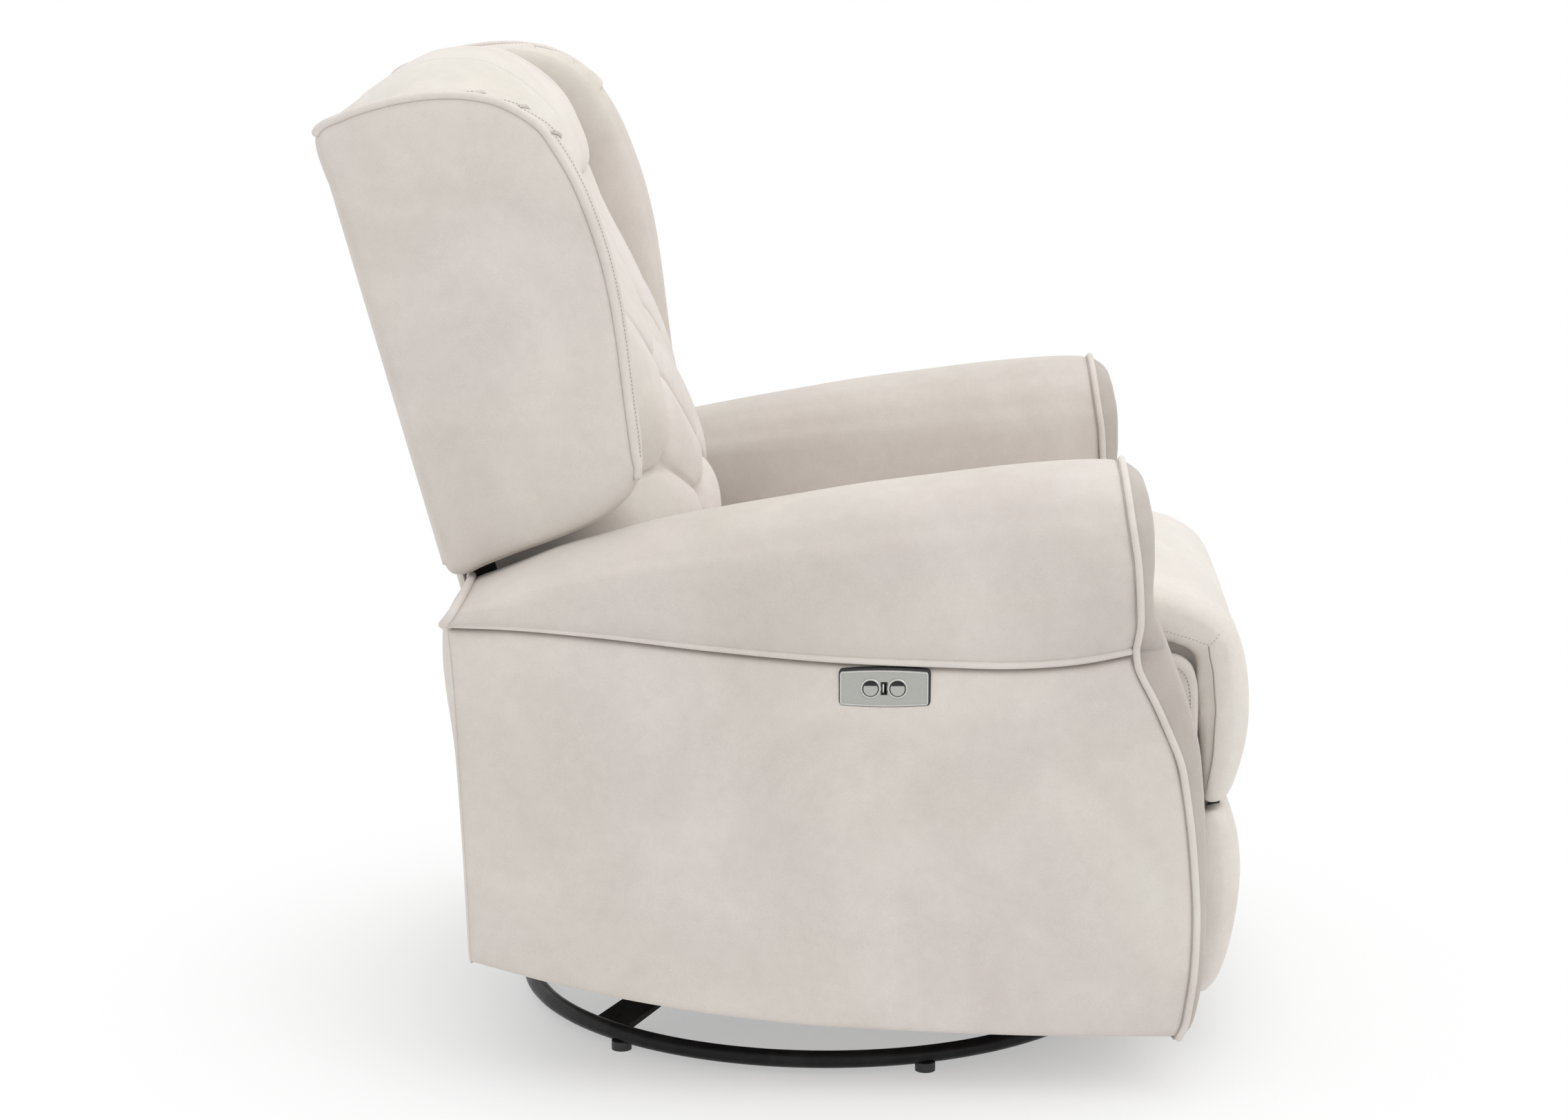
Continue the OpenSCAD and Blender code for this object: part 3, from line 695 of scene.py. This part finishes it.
def arm_back(side, name):
    """The closing panel behind the arm, bulging a little below its top edge."""
    xs = np.concatenate([[257.2, 257.1, 257.0], 257 + (399 - 257) * clustered(28, 2.2)])
    back_to = np.concatenate([[30.0, 18.0, 8.0], np.zeros(28)])
    c = arm_contour(ROLL_REAR)
    zs_n = 48
    rows = []
    top_z = np.interp(xs, *roof(c))
    for x, top, forward in zip(xs, top_z, back_to):
        z = 143 + (top - 143) * clustered(zs_n, 2.2)
        edge = np.interp(z, [143, 253, 338, 448, 508, 541], [-369, -373, -377, -382, -387, -370])
        d = np.minimum(np.minimum(x - 255, 401 - x), np.minimum(z - 141, top + 2 - z))
        puff = 9 * np.exp(-((z - 455) / 60) ** 2) * edge_round(np.minimum(x - 255, 401 - x), 12)
        f = edge + 5 - (6 + puff) * edge_round(d, 5) + forward
        rows.append(np.stack([np.full_like(z, x), f, z], axis=1))
    obj = sheet_piece(name, mirrored(rows, side), VELVET, thickness=0.005)
    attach(obj, "chassis")
    return obj


def roof(contour):
    """Tables of x and the contour's height there, x rising."""
    x, z = contour[:, 0], contour[:, 1]
    order = np.argsort(x)
    return x[order], z[order]


def middle_of(node):
    """(f, z) of the middle of a CAD node, in millimetres."""
    lo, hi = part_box(node)
    return -(lo[1] + hi[1]) * 500, (lo[2] + hi[2]) * 500


def plate_loop(grow=0.0, n=70):
    """The control plate's bowed outline as a closed loop of (f, z), grown outwards."""
    lo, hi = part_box("switch_plate")
    w, h = (hi[1] - lo[1]) * 500, (hi[2] - lo[2]) * 500
    mid_f, mid_z = middle_of("switch_plate")
    x = w * np.sin(np.linspace(-math.pi / 2, math.pi / 2, n))
    corner = h - 5 + np.sqrt(np.maximum(25 - np.maximum(np.abs(x) - (w - 5), 0) ** 2, 0))
    top = np.minimum(h - x**2 / 1120, corner)
    loop = np.array([(mid_f + a, mid_z + b) for a, b in zip(x, top)]
                    + [(mid_f + a, mid_z - b) for a, b in zip(x[::-1], top[::-1])])
    tangent = unit(np.roll(loop, -2, axis=0) - np.roll(loop, 2, axis=0))
    return loop + grow * np.stack([-tangent[:, 1], tangent[:, 0]], axis=1)


def ringed(name, loops, material):
    """A closed band through loops of (x, f, z), on the chair's right-hand side."""
    obj = sheet_piece(name, mirrored(loops, -1), material, wrap_u=True, wrap_v=True)
    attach(obj, "chassis")
    return obj


def control_trim():
    """The plate's bevelled lip and shadow gap, the button bezels, and the port's contact tongue.
    Black rings painted into the gaps stand in for their shade, and round the buttons for dark
    reflection too.
    """
    def loop(x, grow, df=0.0, dz=0.0):
        path = plate_loop(grow) + [df, dz]
        return at_x(x, path)

    black = MATERIALS["black_plastic"]
    ringed("control_lip", [loop(404.4, -1.6), loop(405.3, -1.1), loop(405.2, -0.3),
                           loop(404.0, 0.7), loop(401.0, 0.8), loop(401.0, -1.4)],
           CONTROL_LIP)
    # A black ring in the plate's shadow gap, shifted up and forward so that it shows wider at the
    # top and front: painted shade.
    ringed("control_gap_painted_shade", [loop(403.4, -0.5, 0.5, 0.6), loop(404.4, 1.0, 0.6, 0.9),
                           loop(404.2, 2.0, 0.7, 1.1), loop(400.0, 2.4, 0.7, 1.1),
                           loop(400.0, -0.5, 0.5, 0.6)], black)
    turn = np.linspace(0, 2 * math.pi, 64, endpoint=False)
    for node, tag in (("button_open", "open"), ("button_close", "close")):
        f, z = middle_of(node)

        def circle(x, r):
            return at_x(x, np.stack([f + r * np.cos(turn), z + r * np.sin(turn)], axis=1))

        ringed(f"bezel_{tag}", [circle(404.2, 8.3), circle(405.6, 8.5), circle(406.1, 9.2),
                                circle(405.6, 10.2), circle(404.6, 11.0), circle(403.0, 11.2),
                                circle(403.0, 8.2)], CONTROL_LIP)
        # A black ring in the gap round each button: painted shade and dark reflection.
        ringed(f"bezel_gap_painted_shade_{tag}", [circle(404.6, 7.65), circle(405.1, 8.0), circle(405.1, 8.45),
                                    circle(402.5, 8.5), circle(402.5, 7.6)],
               black)
    f, z = middle_of("usb_port")
    tongue = [[(x, f + a, z + b) for a, b in ((-1.7, -4.6), (0.0, -4.6), (0.0, 4.6), (-1.7, 4.6))]
              for x in (398.0, 404.1)]
    obj = sheet_piece("usb_tongue", mirrored(tongue, -1), CONTROL_LIP,
                      wrap_v=True, close_ends=True)
    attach(obj, "chassis")


# ---- Back ---------------------------------------------------------------------------------------

WING_EDGE = [(-520, 1010), (-490, 1028), (-457, 1039), (-425, 1046), (-392, 1049.5), (-360, 1048.5),
             (-328, 1041), (-290, 1018), (-273, 995), (-253, 960), (-229, 896), (-217, 848),
             (-209, 799), (-201, 732), (-194, 676), (-191, 656), (-199, 633), (-227, 607),
             (-257, 592), (-287, 580), (-320, 568), (-352, 555), (-376, 545), (-390, 547),
             (-400, 572), (-432, 690), (-466, 812), (-497, 925)]
WING_MID = np.array([-345.0, 790.0])
PLEATS = [(-357, 1049), (-311, 1036), (-275, 1010)]


def wing_outline(n=1300):
    """Points round a wing and the directions that lead away from it."""
    pts = along(WING_EDGE, n, closed=True)
    tangent = unit(np.roll(pts, -1, axis=0) - np.roll(pts, 1, axis=0))
    normal = np.stack([-tangent[:, 1], tangent[:, 0]], axis=1)
    normal = unit(sum(np.roll(normal, k, axis=0) for k in range(-9, 10)))
    flip = np.sign(np.einsum("ij,ij->i", normal, pts - WING_MID).mean())
    return pts, normal * flip


def boxing(pts, normal, x):
    """How far a wing's boxing stands outside its outline at depth x: most of all in front."""
    bulge = float(np.interp(x, [262, 270, 279, 288, 296, 303, 309], [-4, 0.5, 5, 7, 6.5, 4.5, 1.5]))
    front = step_up(normal[:, 0], 0.25, 0.85) * step_up(pts[:, 1], 640, 690)
    out = bulge * np.where(bulge > 0, 0.32 + 0.78 * front, 1.0)
    arc = arc_length(pts)
    for pf, pz in PLEATS:
        k = int(np.argmin(np.hypot(pts[:, 0] - pf, pts[:, 1] - pz)))
        ds = (arc - arc[k]) * (1 if pts[(k + 30) % len(pts), 0] > pf else -1) - (300 - x) * 0.5
        fold = np.where(ds < 0, 3.2 * np.exp(ds / 18), -0.8 * np.exp(-ds / 2.5))
        out = out + fold * math.exp(-((x - 292) / 14) ** 4)
    return out


def pleat_line(pts, normal, place):
    """The crease of one pleat, from the piping in over the boxing."""
    k = int(np.argmin(np.hypot(pts[:, 0] - place[0], pts[:, 1] - place[1])))
    way = 1 if pts[(k + 30) % len(pts), 0] > place[0] else -1
    pitch = np.linalg.norm(pts[(k + 1) % len(pts)] - pts[k])
    line = []
    for x in np.linspace(309, 284, 14):
        i = (k + way * int(round((300 - x) * 0.5 / pitch) + 1)) % len(pts)
        out = boxing(pts, normal, x)[i] + 0.25
        line.append([x, *(pts[i] + normal[i] * out)])
    return along(line, 30)


def wing(side, name):
    """A wing: flat outer panel, pleated boxing over the front and top, and a soft inner face."""
    pts, normal = wing_outline()

    def drawn_in(inset, x):
        ring = pts - normal * min(inset, 5)
        if inset > 5:
            ring = WING_MID + (ring - WING_MID) * (1 - (inset - 5) / 165)
        return at_x(x, ring)

    rows = [drawn_in(inset, x) for inset, x in [
        (150, 319.5), (90, 321), (45, 321.5), (20, 321), (10, 320), (5, 318), (2.5, 314.5),
        (1.2, 311)]]
    rows += [at_x(x, pts + normal * boxing(pts, normal, x)[:, None])
             for x in np.linspace(309, 266, 20)]
    rows += [drawn_in(inset, x) for inset, x in [
        (8, 261.5), (16, 258), (30, 255), (50, 253), (90, 251.5), (150, 251)]]
    obj = sheet_piece(name, mirrored(rows, side), VELVET_SIDE_SHADED, wrap_v=True,
                      close_ends=True)
    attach(obj, "back")
    return obj


def wing_trim(side, tag):
    pts, normal = wing_outline()
    start = int(np.argmin(np.hypot(pts[:, 0] + 521, pts[:, 1] - 1012)))
    order = np.roll(np.arange(len(pts)), -start)
    stop = next(i for i, k in enumerate(order) if pts[k, 1] < 652 and pts[k, 0] > -260)
    sel = order[:stop]
    path = along(at_x(314.5, pts[sel] + normal[sel] * 0.5), 320)
    welt = tube(f"wing_welt_{tag}", mirrored(path, side), WELT_R, VELVET)
    sel = order[40:stop - 14]
    out = boxing(pts, normal, 301.0)[sel] + 0.2
    line = at_x(301.0, pts[sel] + normal[sel] * out[:, None])
    seam = stitches(f"wing_stitch_{tag}", mirrored(line, side))
    # Thin dark tubes along the pleats' creases: painted shade in the folds, laid over the real
    # folds in the boxing.
    crease_shade_lines = [tube(f"wing_pleat_shade_{tag}_{i + 1}", mirrored(pleat_line(pts, normal, place), side),
                  PLEAT_R, THREAD_AND_PAINTED_SHADE, sides=8) for i, place in enumerate(PLEATS)]
    for piece in (welt, seam, *crease_shade_lines):
        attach(piece, "back")


TUFT_ROWS = [[(-140, 806), (0, 792), (140, 806)], [(-70, 730), (70, 730)],
             [(-140, 631), (0, 622), (140, 631)], [(-70, 585), (70, 585)]]


def tuft_creases():
    """The creases that join the tufts, and the pleats that run out to the edges of the back."""
    lines = []
    for upper, lower in zip(TUFT_ROWS, TUFT_ROWS[1:]):
        lines += [(p, q) for p in upper for q in lower if abs(p[0] - q[0]) < 80]
    lines += [((x, z), (x, 470)) for x, z in TUFT_ROWS[-1]]
    lines += [((x, z), (1.05 * x, 905)) for x, z in TUFT_ROWS[0]]
    for s in (-1, 1):
        lines += [((140 * s, 806), (250 * s, 848)), ((140 * s, 631), (250 * s, 620))]
    return lines


def crease_distance(x, z, soft=4.0):
    """Distance to the nearest crease, rounded where creases meet; top pleats fade out upwards."""
    total = np.zeros_like(x)
    for (x0, z0), (x1, z1) in tuft_creases():
        dx, dz = x1 - x0, z1 - z0
        t = np.clip(((x - x0) * dx + (z - z0) * dz) / (dx * dx + dz * dz), 0, 1)
        d = np.hypot(x - x0 - t * dx, z - z0 - t * dz)
        total += (1 - 0.9 * t if z1 > 900 else 1.0) * np.exp(-d / soft)
    return np.maximum(-soft * np.log(np.maximum(total, 1e-12)), 0)


back_middle = smooth([470, 520, 550, 580, 615, 660, 714, 767, 811, 884, 930, 950],
                     [-128, -122, -117, -119, -129, -144, -167, -190, -211, -246, -264, -272])
back_sweep = smooth([470, 550, 632, 724, 806, 860, 900], [24, 30, 28, 11, 6, 8, 12])
back_fall = smooth([470, 550, 632, 724, 806, 860, 900], [0, 0, 13, 22, 24, 16, 0])


def back_face(x, z):
    """f of the tufted front face at (x, z)."""
    f = back_middle(z) - back_sweep(z) * (np.abs(x) / 140) ** 2
    f = f - back_fall(z) * step_up(np.abs(x), 140, 250)
    d = crease_distance(x, z)
    deep = 1 - 0.6 * step_up(z, 690, 810)
    f = f - deep * (10 * np.exp(-d / 19) + 3.6 * np.exp(-(d / 3.2) ** 2))
    for tx, tz in sum(TUFT_ROWS, []):
        f = f - 6 * deep * np.exp(-(np.hypot(x - tx, z - tz) / 14) ** 2)
    return f


def back_cushion():
    """The tufted inner back."""
    xs = np.linspace(-251, 251, 330)
    zs = np.linspace(470, 952, 330)
    X, Z = np.meshgrid(xs, zs, indexing="ij")
    half = 247 + 4 * step_up(Z, 578, 625)
    X = X * half / 251
    f = back_face(X, Z)
    side = edge_round(half - np.abs(X), 8) * edge_round(Z - 468, 7)
    f = f - 9 * step_up(Z, 925, 952) ** 2
    rear = BACK_FOOT[0] - (Z - BACK_FOOT[1]) * math.tan(LEAN) + 45
    f = rear + (f - rear) * side
    obj = sheet_piece("back_tufted", np.stack([X, f, Z], axis=2), VELVET, thickness=0.004)
    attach(obj, "back")
    return obj


def back_crease(side, name):
    """The cover down in the crease between the tufted back and a wing."""
    zs = np.linspace(592, 958, 60)
    xs = np.linspace(236, 257, 8)
    low = np.minimum(zs, 900)
    f = back_middle(np.minimum(zs, 950)) - back_sweep(low) * 3.2 - back_fall(low) - 29
    rows = [np.stack([np.full_like(zs, x), f, zs], axis=1) for x in xs]
    obj = sheet_piece(name, mirrored(rows, side), VELVET, thickness=0.002)
    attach(obj, "back")


def crown_piece():
    """The domed head cushion over the top of the back, sewn on either side of its middle."""
    profile = along([(-520, 975), (-527, 1003), (-513, 1021), (-492, 1036), (-473, 1049),
                     (-454, 1060), (-437, 1067), (-420, 1070), (-399, 1070.5), (-380, 1070),
                     (-364, 1066), (-338, 1053), (-312, 1034), (-290, 1010), (-275, 981),
                     (-266, 955), (-266, 940), (-276, 926), (-300, 915)], 150)
    tangent = unit(np.gradient(profile, axis=0))
    normal = np.stack([-tangent[:, 1], tangent[:, 0]], axis=1)
    xs = np.unique(np.concatenate([252 * np.sin(np.linspace(-math.pi / 2, math.pi / 2, 111)),
                                   np.linspace(-82, -64, 25), np.linspace(64, 82, 25)]))
    rows = []
    dome = 21 - 6 * step_up(profile[:, 1], 960, 1040)
    sewn = step_up(profile[:, 1], 985, 1045)
    tucked = (step_up(profile[:, 0], -420, -340) * (1 - step_up(profile[:, 1], 950, 1015)))[:, None]
    push = normal * (1 - tucked) + np.array([[1.0, -0.1]]) * tucked
    for x in xs:
        d = abs(x)
        inset = dome * (d / 180) ** 2 + 8 * step_up(d, 222, 252) ** 1.3
        off = d - CROWN_SEAM
        inset = inset + sewn * (3.4 * math.exp(-(off / 1.3) ** 2) + 2.0 * math.exp(-abs(off) / 7))
        rows.append(at_x(x, profile - push * inset[:, None]))
    obj = sheet_piece("crown_roll", np.array(rows), VELVET, thickness=0.004)
    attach(obj, "back")
    return obj


def back_point(n, u):
    """(f, z) of a point n in front of the back's rear face and u along it."""
    f, z = BACK_FOOT
    return f + n * math.cos(LEAN) - u * math.sin(LEAN), z + n * math.sin(LEAN) + u * math.cos(LEAN)


def outer_back():
    """The plain panel across the rear of the back, between the wings' rear edges."""
    us = -118 + (496 + 118) * clustered(70, 2.0)
    ws = clustered(60, 2.4)
    rows = []
    for u in us:
        half = 249 + (314 - 249) * step_up(u, 4, 12)
        x = -half + 2 * half * ws
        d = np.minimum(half - np.abs(x), min(u + 118, 496 - u))
        n = 6 - 9 * edge_round(d, 6) - 4 * edge_round(d, 90)
        f, z = back_point(n, u)
        rows.append(np.stack([x, f, z], axis=1))
    obj = sheet_piece("outer_back_cover", np.array(rows), VELVET, thickness=0.005)
    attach(obj, "back")
    return obj


# ---- Seat and leg rest --------------------------------------------------------------------------

def pad_loft(outer, inner, half_w, edge, inner_edge=None, n_along=90):
    """A pad lofted between two side curves; its ends roll over by edge (across) towards the inside.

    inner_edge, if given, is the inner curve near the pad's two ends, where it is deeper.
    """
    a, b = along(outer, n_along), along(inner, n_along)
    c = along(inner_edge, n_along) if inner_edge is not None else b
    turn = np.linspace(0, math.pi / 2, 9)
    front = [(half_w - edge + edge * math.sin(t), 1 - (1 - math.cos(t)) * 0.62) for t in turn[::-1]]
    across = np.linspace(half_w - edge, -(half_w - edge), 25)[1:-1]
    ring = front + [(x, 1.0) for x in across] + [(-x, h) for x, h in front[::-1]]
    ring += [(-half_w, 0.0), (-half_w + 22, 0.0), (-half_w + 25, -1.0)]
    ring += [(x, -1.0) for x in np.linspace(-half_w + 40, half_w - 40, 15)]
    ring += [(half_w - 25, -1.0), (half_w - 22, 0.0), (half_w, 0.0)]
    rows = []
    for p, q, r in zip(a, b, c):
        row = []
        for x, h in ring:
            point = r + (p - r) * h if h >= 0 else q
            row.append((x, point[0], point[1]))
        rows.append(row)
    return np.array(rows)


def seat_and_chaise():
    """The seat cushion that runs over the front edge and down the leg rest's upper board."""
    outer = [(-114, 492), (-104, 508), (-60, 514), (60, 518), (200, 520), (310, 517), (352, 513),
             (388, 507), (414, 499), (434, 486), (448, 468), (456, 441), (460, 414), (461, 384),
             (460, 356), (455, 328), (448, 303), (438, 276)]
    inner = [(-114, 440), (-104, 425), (-60, 421), (60, 421), (200, 421), (310, 421), (340, 422),
             (366, 422), (386, 421), (398, 416), (407, 407), (414, 396), (420, 384), (421, 366),
             (421, 345), (421, 325), (421, 303), (421, 284)]
    edge = [(-114, 440), (-104, 428), (-60, 424), (60, 424), (200, 424), (310, 451), (340, 459),
            (366, 460), (386, 455), (398, 449), (405, 440), (407, 420), (408, 400), (408, 372),
            (409, 345), (409, 325), (410, 303), (411, 278)]
    obj = sheet_piece("seat_chaise", pad_loft(outer, inner, SEAT_HALF, 34, edge, 120), VELVET_SEAT_LIT,
                      wrap_v=True, close_ends=True)
    inflate(obj, voxel=0.006)
    subdivide(obj)
    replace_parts(obj, "seat_cushion", "chaise_pad")
    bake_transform(obj)
    for s, tag in ((1, "left"), (-1, "right")):
        side = along([(417, 455), (419, 442), (422, 429), (424, 409), (426, 384), (425, 357),
                      (424, 332), (421, 312), (418, 292)], 120)
        line = at_x(SEAT_HALF + 0.5, side)
        top = along([(346, 476), (368, 472), (387, 467), (405, 461), (417, 457), (424, 463),
                     (431, 474)], 70)
        fold = at_x(SEAT_HALF + 0.3, top)
        # The thin dark tube down the chaise's side seam is painted shadow along the seam; the
        # stitches along the seat's top fold are thread.
        for piece in (tube(f"chaise_seam_shadow_{tag}", mirrored(line, s), 0.9, THREAD_AND_PAINTED_SHADE, sides=8),
                      stitches(f"seat_seam_{tag}", mirrored(fold, s))):
            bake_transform(piece)


def ottoman():
    """The leg rest's lower pad."""
    outer = [(434, 275), (447, 252), (453, 223), (455, 196), (453, 162), (448, 127), (441, 97),
             (431, 72), (420, 61)]
    inner = [(421, 270), (421, 250), (421, 223), (421, 196), (421, 162), (421, 127), (421, 97),
             (420, 76), (414, 64)]
    edge = [(411, 268), (407, 250), (406, 223), (406, 196), (406, 162), (406, 127), (406, 97),
            (406, 76), (407, 64)]
    obj = sheet_piece("ottoman_cover", pad_loft(outer, inner, SEAT_HALF, 34, edge, 60), VELVET_SEAT_LIT,
                      wrap_v=True, close_ends=True)
    inflate(obj, voxel=0.0055)
    subdivide(obj)
    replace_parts(obj, "ottoman_pad")
    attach(obj, "ottoman")


def seat_gusset(side, name):
    """The covered end of the seat box, seen between the arm's facing and the chaise pad."""
    edge = along([(330, 448), (368, 446), (388, 442), (400, 432), (406, 415), (408, 392),
                  (408, 340), (409, 300), (404, 255), (380, 250), (330, 252), (328, 350)], 120,
                 closed=True)
    mid = edge.mean(axis=0)
    rows = []
    for k, x in [(0.0, 226), (0.0, 234), (0.012, 238), (0.04, 240.5), (0.12, 241.5), (0.5, 242),
                 (0.95, 242)]:
        rows.append(at_x(x, mid + (edge - mid) * (1 - k)))
    obj = sheet_piece(name, mirrored(rows, side), VELVET, wrap_v=True, close_ends=True)
    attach(obj, "chassis")
    line = along([(340, 437), (368, 436), (384, 431), (393, 422), (398, 406), (399, 380),
                  (399, 330)], 60)
    thread = stitches(name + "_stitch", mirrored(at_x(242.3, line), side))
    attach(thread, "chassis")


def lining(side, name):
    """The thin cover on the inside of an arm, beside the leg rest and the mechanism."""
    zs = np.linspace(80, 276, 40)
    us = np.linspace(0, 1, 60)
    rows = []
    for u in us:
        rear = -352.0
        f = rear + (np.array([seam_f(z) - 6 for z in zs]) - rear) * u
        foot = np.interp(f, [-352, -168, -35, 81, 231, 400], [150, 108, 92, 86, 80, 78])
        z = foot + (276 - foot) * (zs - 80) / 196
        x = 263 + 1.2 * np.sin(f / 47) * np.sin(z / 31)
        rows.append(np.stack([x, f, z], axis=1))
    obj = sheet_piece(name, mirrored(rows, side), VELVET_FACING_SHADED, thickness=0.002)
    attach(obj, "chassis")


def seat_deck():
    """The cloth deck behind the seat cushion, under the foot of the back."""
    fs = np.linspace(-290, -100, 40)
    xs = np.linspace(-250, 250, 60)
    X, F = np.meshgrid(xs, fs, indexing="ij")
    Z = 459 + 1.5 * np.sin(X / 61) * np.sin(F / 23) - 4 * (1 - edge_round(250 - np.abs(X), 6))
    obj = sheet_piece("seat_deck", np.stack([X, F, Z], axis=2), VELVET_SEAT_LIT, thickness=0.003)
    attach(obj, "chassis")


def rear_curtain():
    """The skirt that closes the rear, from the frame up to the reclining back."""
    xs = -255 + 510 * clustered(50, 2.0)
    zs = 140 + (432 - 140) * clustered(60, 2.0)
    rows = []
    for x in xs:
        d = np.minimum(255 - abs(x), np.minimum(zs - 138, 440 - zs))
        f = -358 - 6 * edge_round(d, 6) - 3 * np.sin(zs / 31.0) * edge_round(d, 20) * 0.4
        f = f - 4 * step_up(zs, 380, 430)
        rows.append(np.stack([np.full_like(zs, x), f, zs], axis=1))
    obj = sheet_piece("rear_curtain", np.array(rows), VELVET, thickness=0.003)
    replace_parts(obj, "rear_skirt")
    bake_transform(obj)


# ---- Stage --------------------------------------------------------------------------------------

def camera():
    cam = bpy.data.cameras.new("camera")
    cam.sensor_width = 36
    cam.lens = 88.04
    obj = bpy.data.objects.new("camera", cam)
    obj.location = (-4.2564, -0.0732, 1.4270)
    pitch, yaw = 0.2157, 0.0280
    level = math.cos(pitch)
    look = Vector((level * math.cos(yaw), level * math.sin(yaw), -math.sin(pitch)))
    obj.rotation_euler = look.to_track_quat("-Z", "Y").to_euler()
    show(obj)
    bpy.context.scene.camera = obj


def area_light(name, place, target, size, watts, colour=(1, 1, 1)):
    light = bpy.data.lights.new(name, "AREA")
    light.shape = "RECTANGLE"
    light.size, light.size_y = size
    light.energy = watts
    light.color = colour
    obj = bpy.data.objects.new(name, light)
    obj.location = place
    obj.rotation_euler = (Vector(target) - Vector(place)).to_track_quat("-Z", "Y").to_euler()
    show(obj)


def stage():
    """A white sweep: mostly plain near the chair, where it takes the shadow, and glowing further
    out. It glows in part even beside the chair, painted light that lightens the shadow there.
    """
    mesh = bpy.data.meshes.new("floor")
    mesh.from_pydata([(-9, -9, 0), (9, -9, 0), (9, 9, 0), (-9, 9, 0)], [], [(0, 1, 2, 3)])
    floor = bpy.data.objects.new("floor", mesh)
    mat, tree, shader, coords = node_material("glowing_floor")
    feed(tree, shader, {"Base Color": grey(0.80), "Roughness": 0.8})
    length = tree.nodes.new("ShaderNodeVectorMath")
    length.operation = "LENGTH"
    tree.links.new(coords, length.inputs[0])
    # Share of glow: 0.42 beside the chair, painted light lifting the shadow there, rising to full
    # glow further out.
    glow_share = tree.nodes.new("ShaderNodeMapRange")
    glow_share.interpolation_type = "SMOOTHSTEP"
    feed(tree, glow_share, {"Value": length.outputs["Value"], "From Min": 0.28, "From Max": 0.90,
                      "To Min": 0.42, "To Max": 1.0})
    glow = tree.nodes.new("ShaderNodeEmission")
    feed(tree, glow, {"Strength": 1.0, "Color": grey(1)})
    both = tree.nodes.new("ShaderNodeMixShader")
    feed(tree, both, {0: glow_share.outputs[0], 1: shader.outputs[0], 2: glow.outputs[0]})
    feed(tree, tree.nodes["Material Output"], {"Surface": both.outputs[0]})
    mesh.materials.append(mat)
    show(floor)
    world = bpy.data.worlds.new("studio")
    bpy.context.scene.world = world
    world.use_nodes = True
    feed(world.node_tree, world.node_tree.nodes["Background"], {0: grey(1), 1: 1.0})
    area_light("key", (-2.6, -2.6, 3.4), (0, 0, 0.5), (2.2, 2.2), 26, (1.0, 0.985, 0.965))
    area_light("top", (0.3, -0.4, 4.0), (0, 0, 0.5), (2.4, 2.4), 34)
    bpy.context.scene.view_settings.view_transform = "Standard"


# ---- Putting it together ------------------------------------------------------------------------

camera()
stage()
dress_cad_nodes()

for side, tag in ((1, "left"), (-1, "right")):
    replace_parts(arm_roll(side, f"arm_roll_{tag}"), f"arm_pad_{tag}")
    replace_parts(side_panel(side, f"side_cover_{tag}"), f"side_panel_{tag}")
    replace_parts(arm_front(side, f"arm_front_{tag}"), f"arm_facing_{tag}")
    arm_back(side, f"arm_back_{tag}")
    arm_trim(side, tag)
    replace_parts(wing(side, f"wing_cover_{tag}"), f"wing_{tag}")
    wing_trim(side, tag)
    seat_gusset(side, f"seat_gusset_{tag}")
    lining(side, f"arm_lining_{tag}")
    back_crease(side, f"back_crease_{tag}")

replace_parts(back_cushion(), "back_cushion")
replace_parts(crown_piece(), "crown")
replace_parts(outer_back(), "outer_back_panel")
seat_and_chaise()
seat_deck()
ottoman()
rear_curtain()
control_trim()
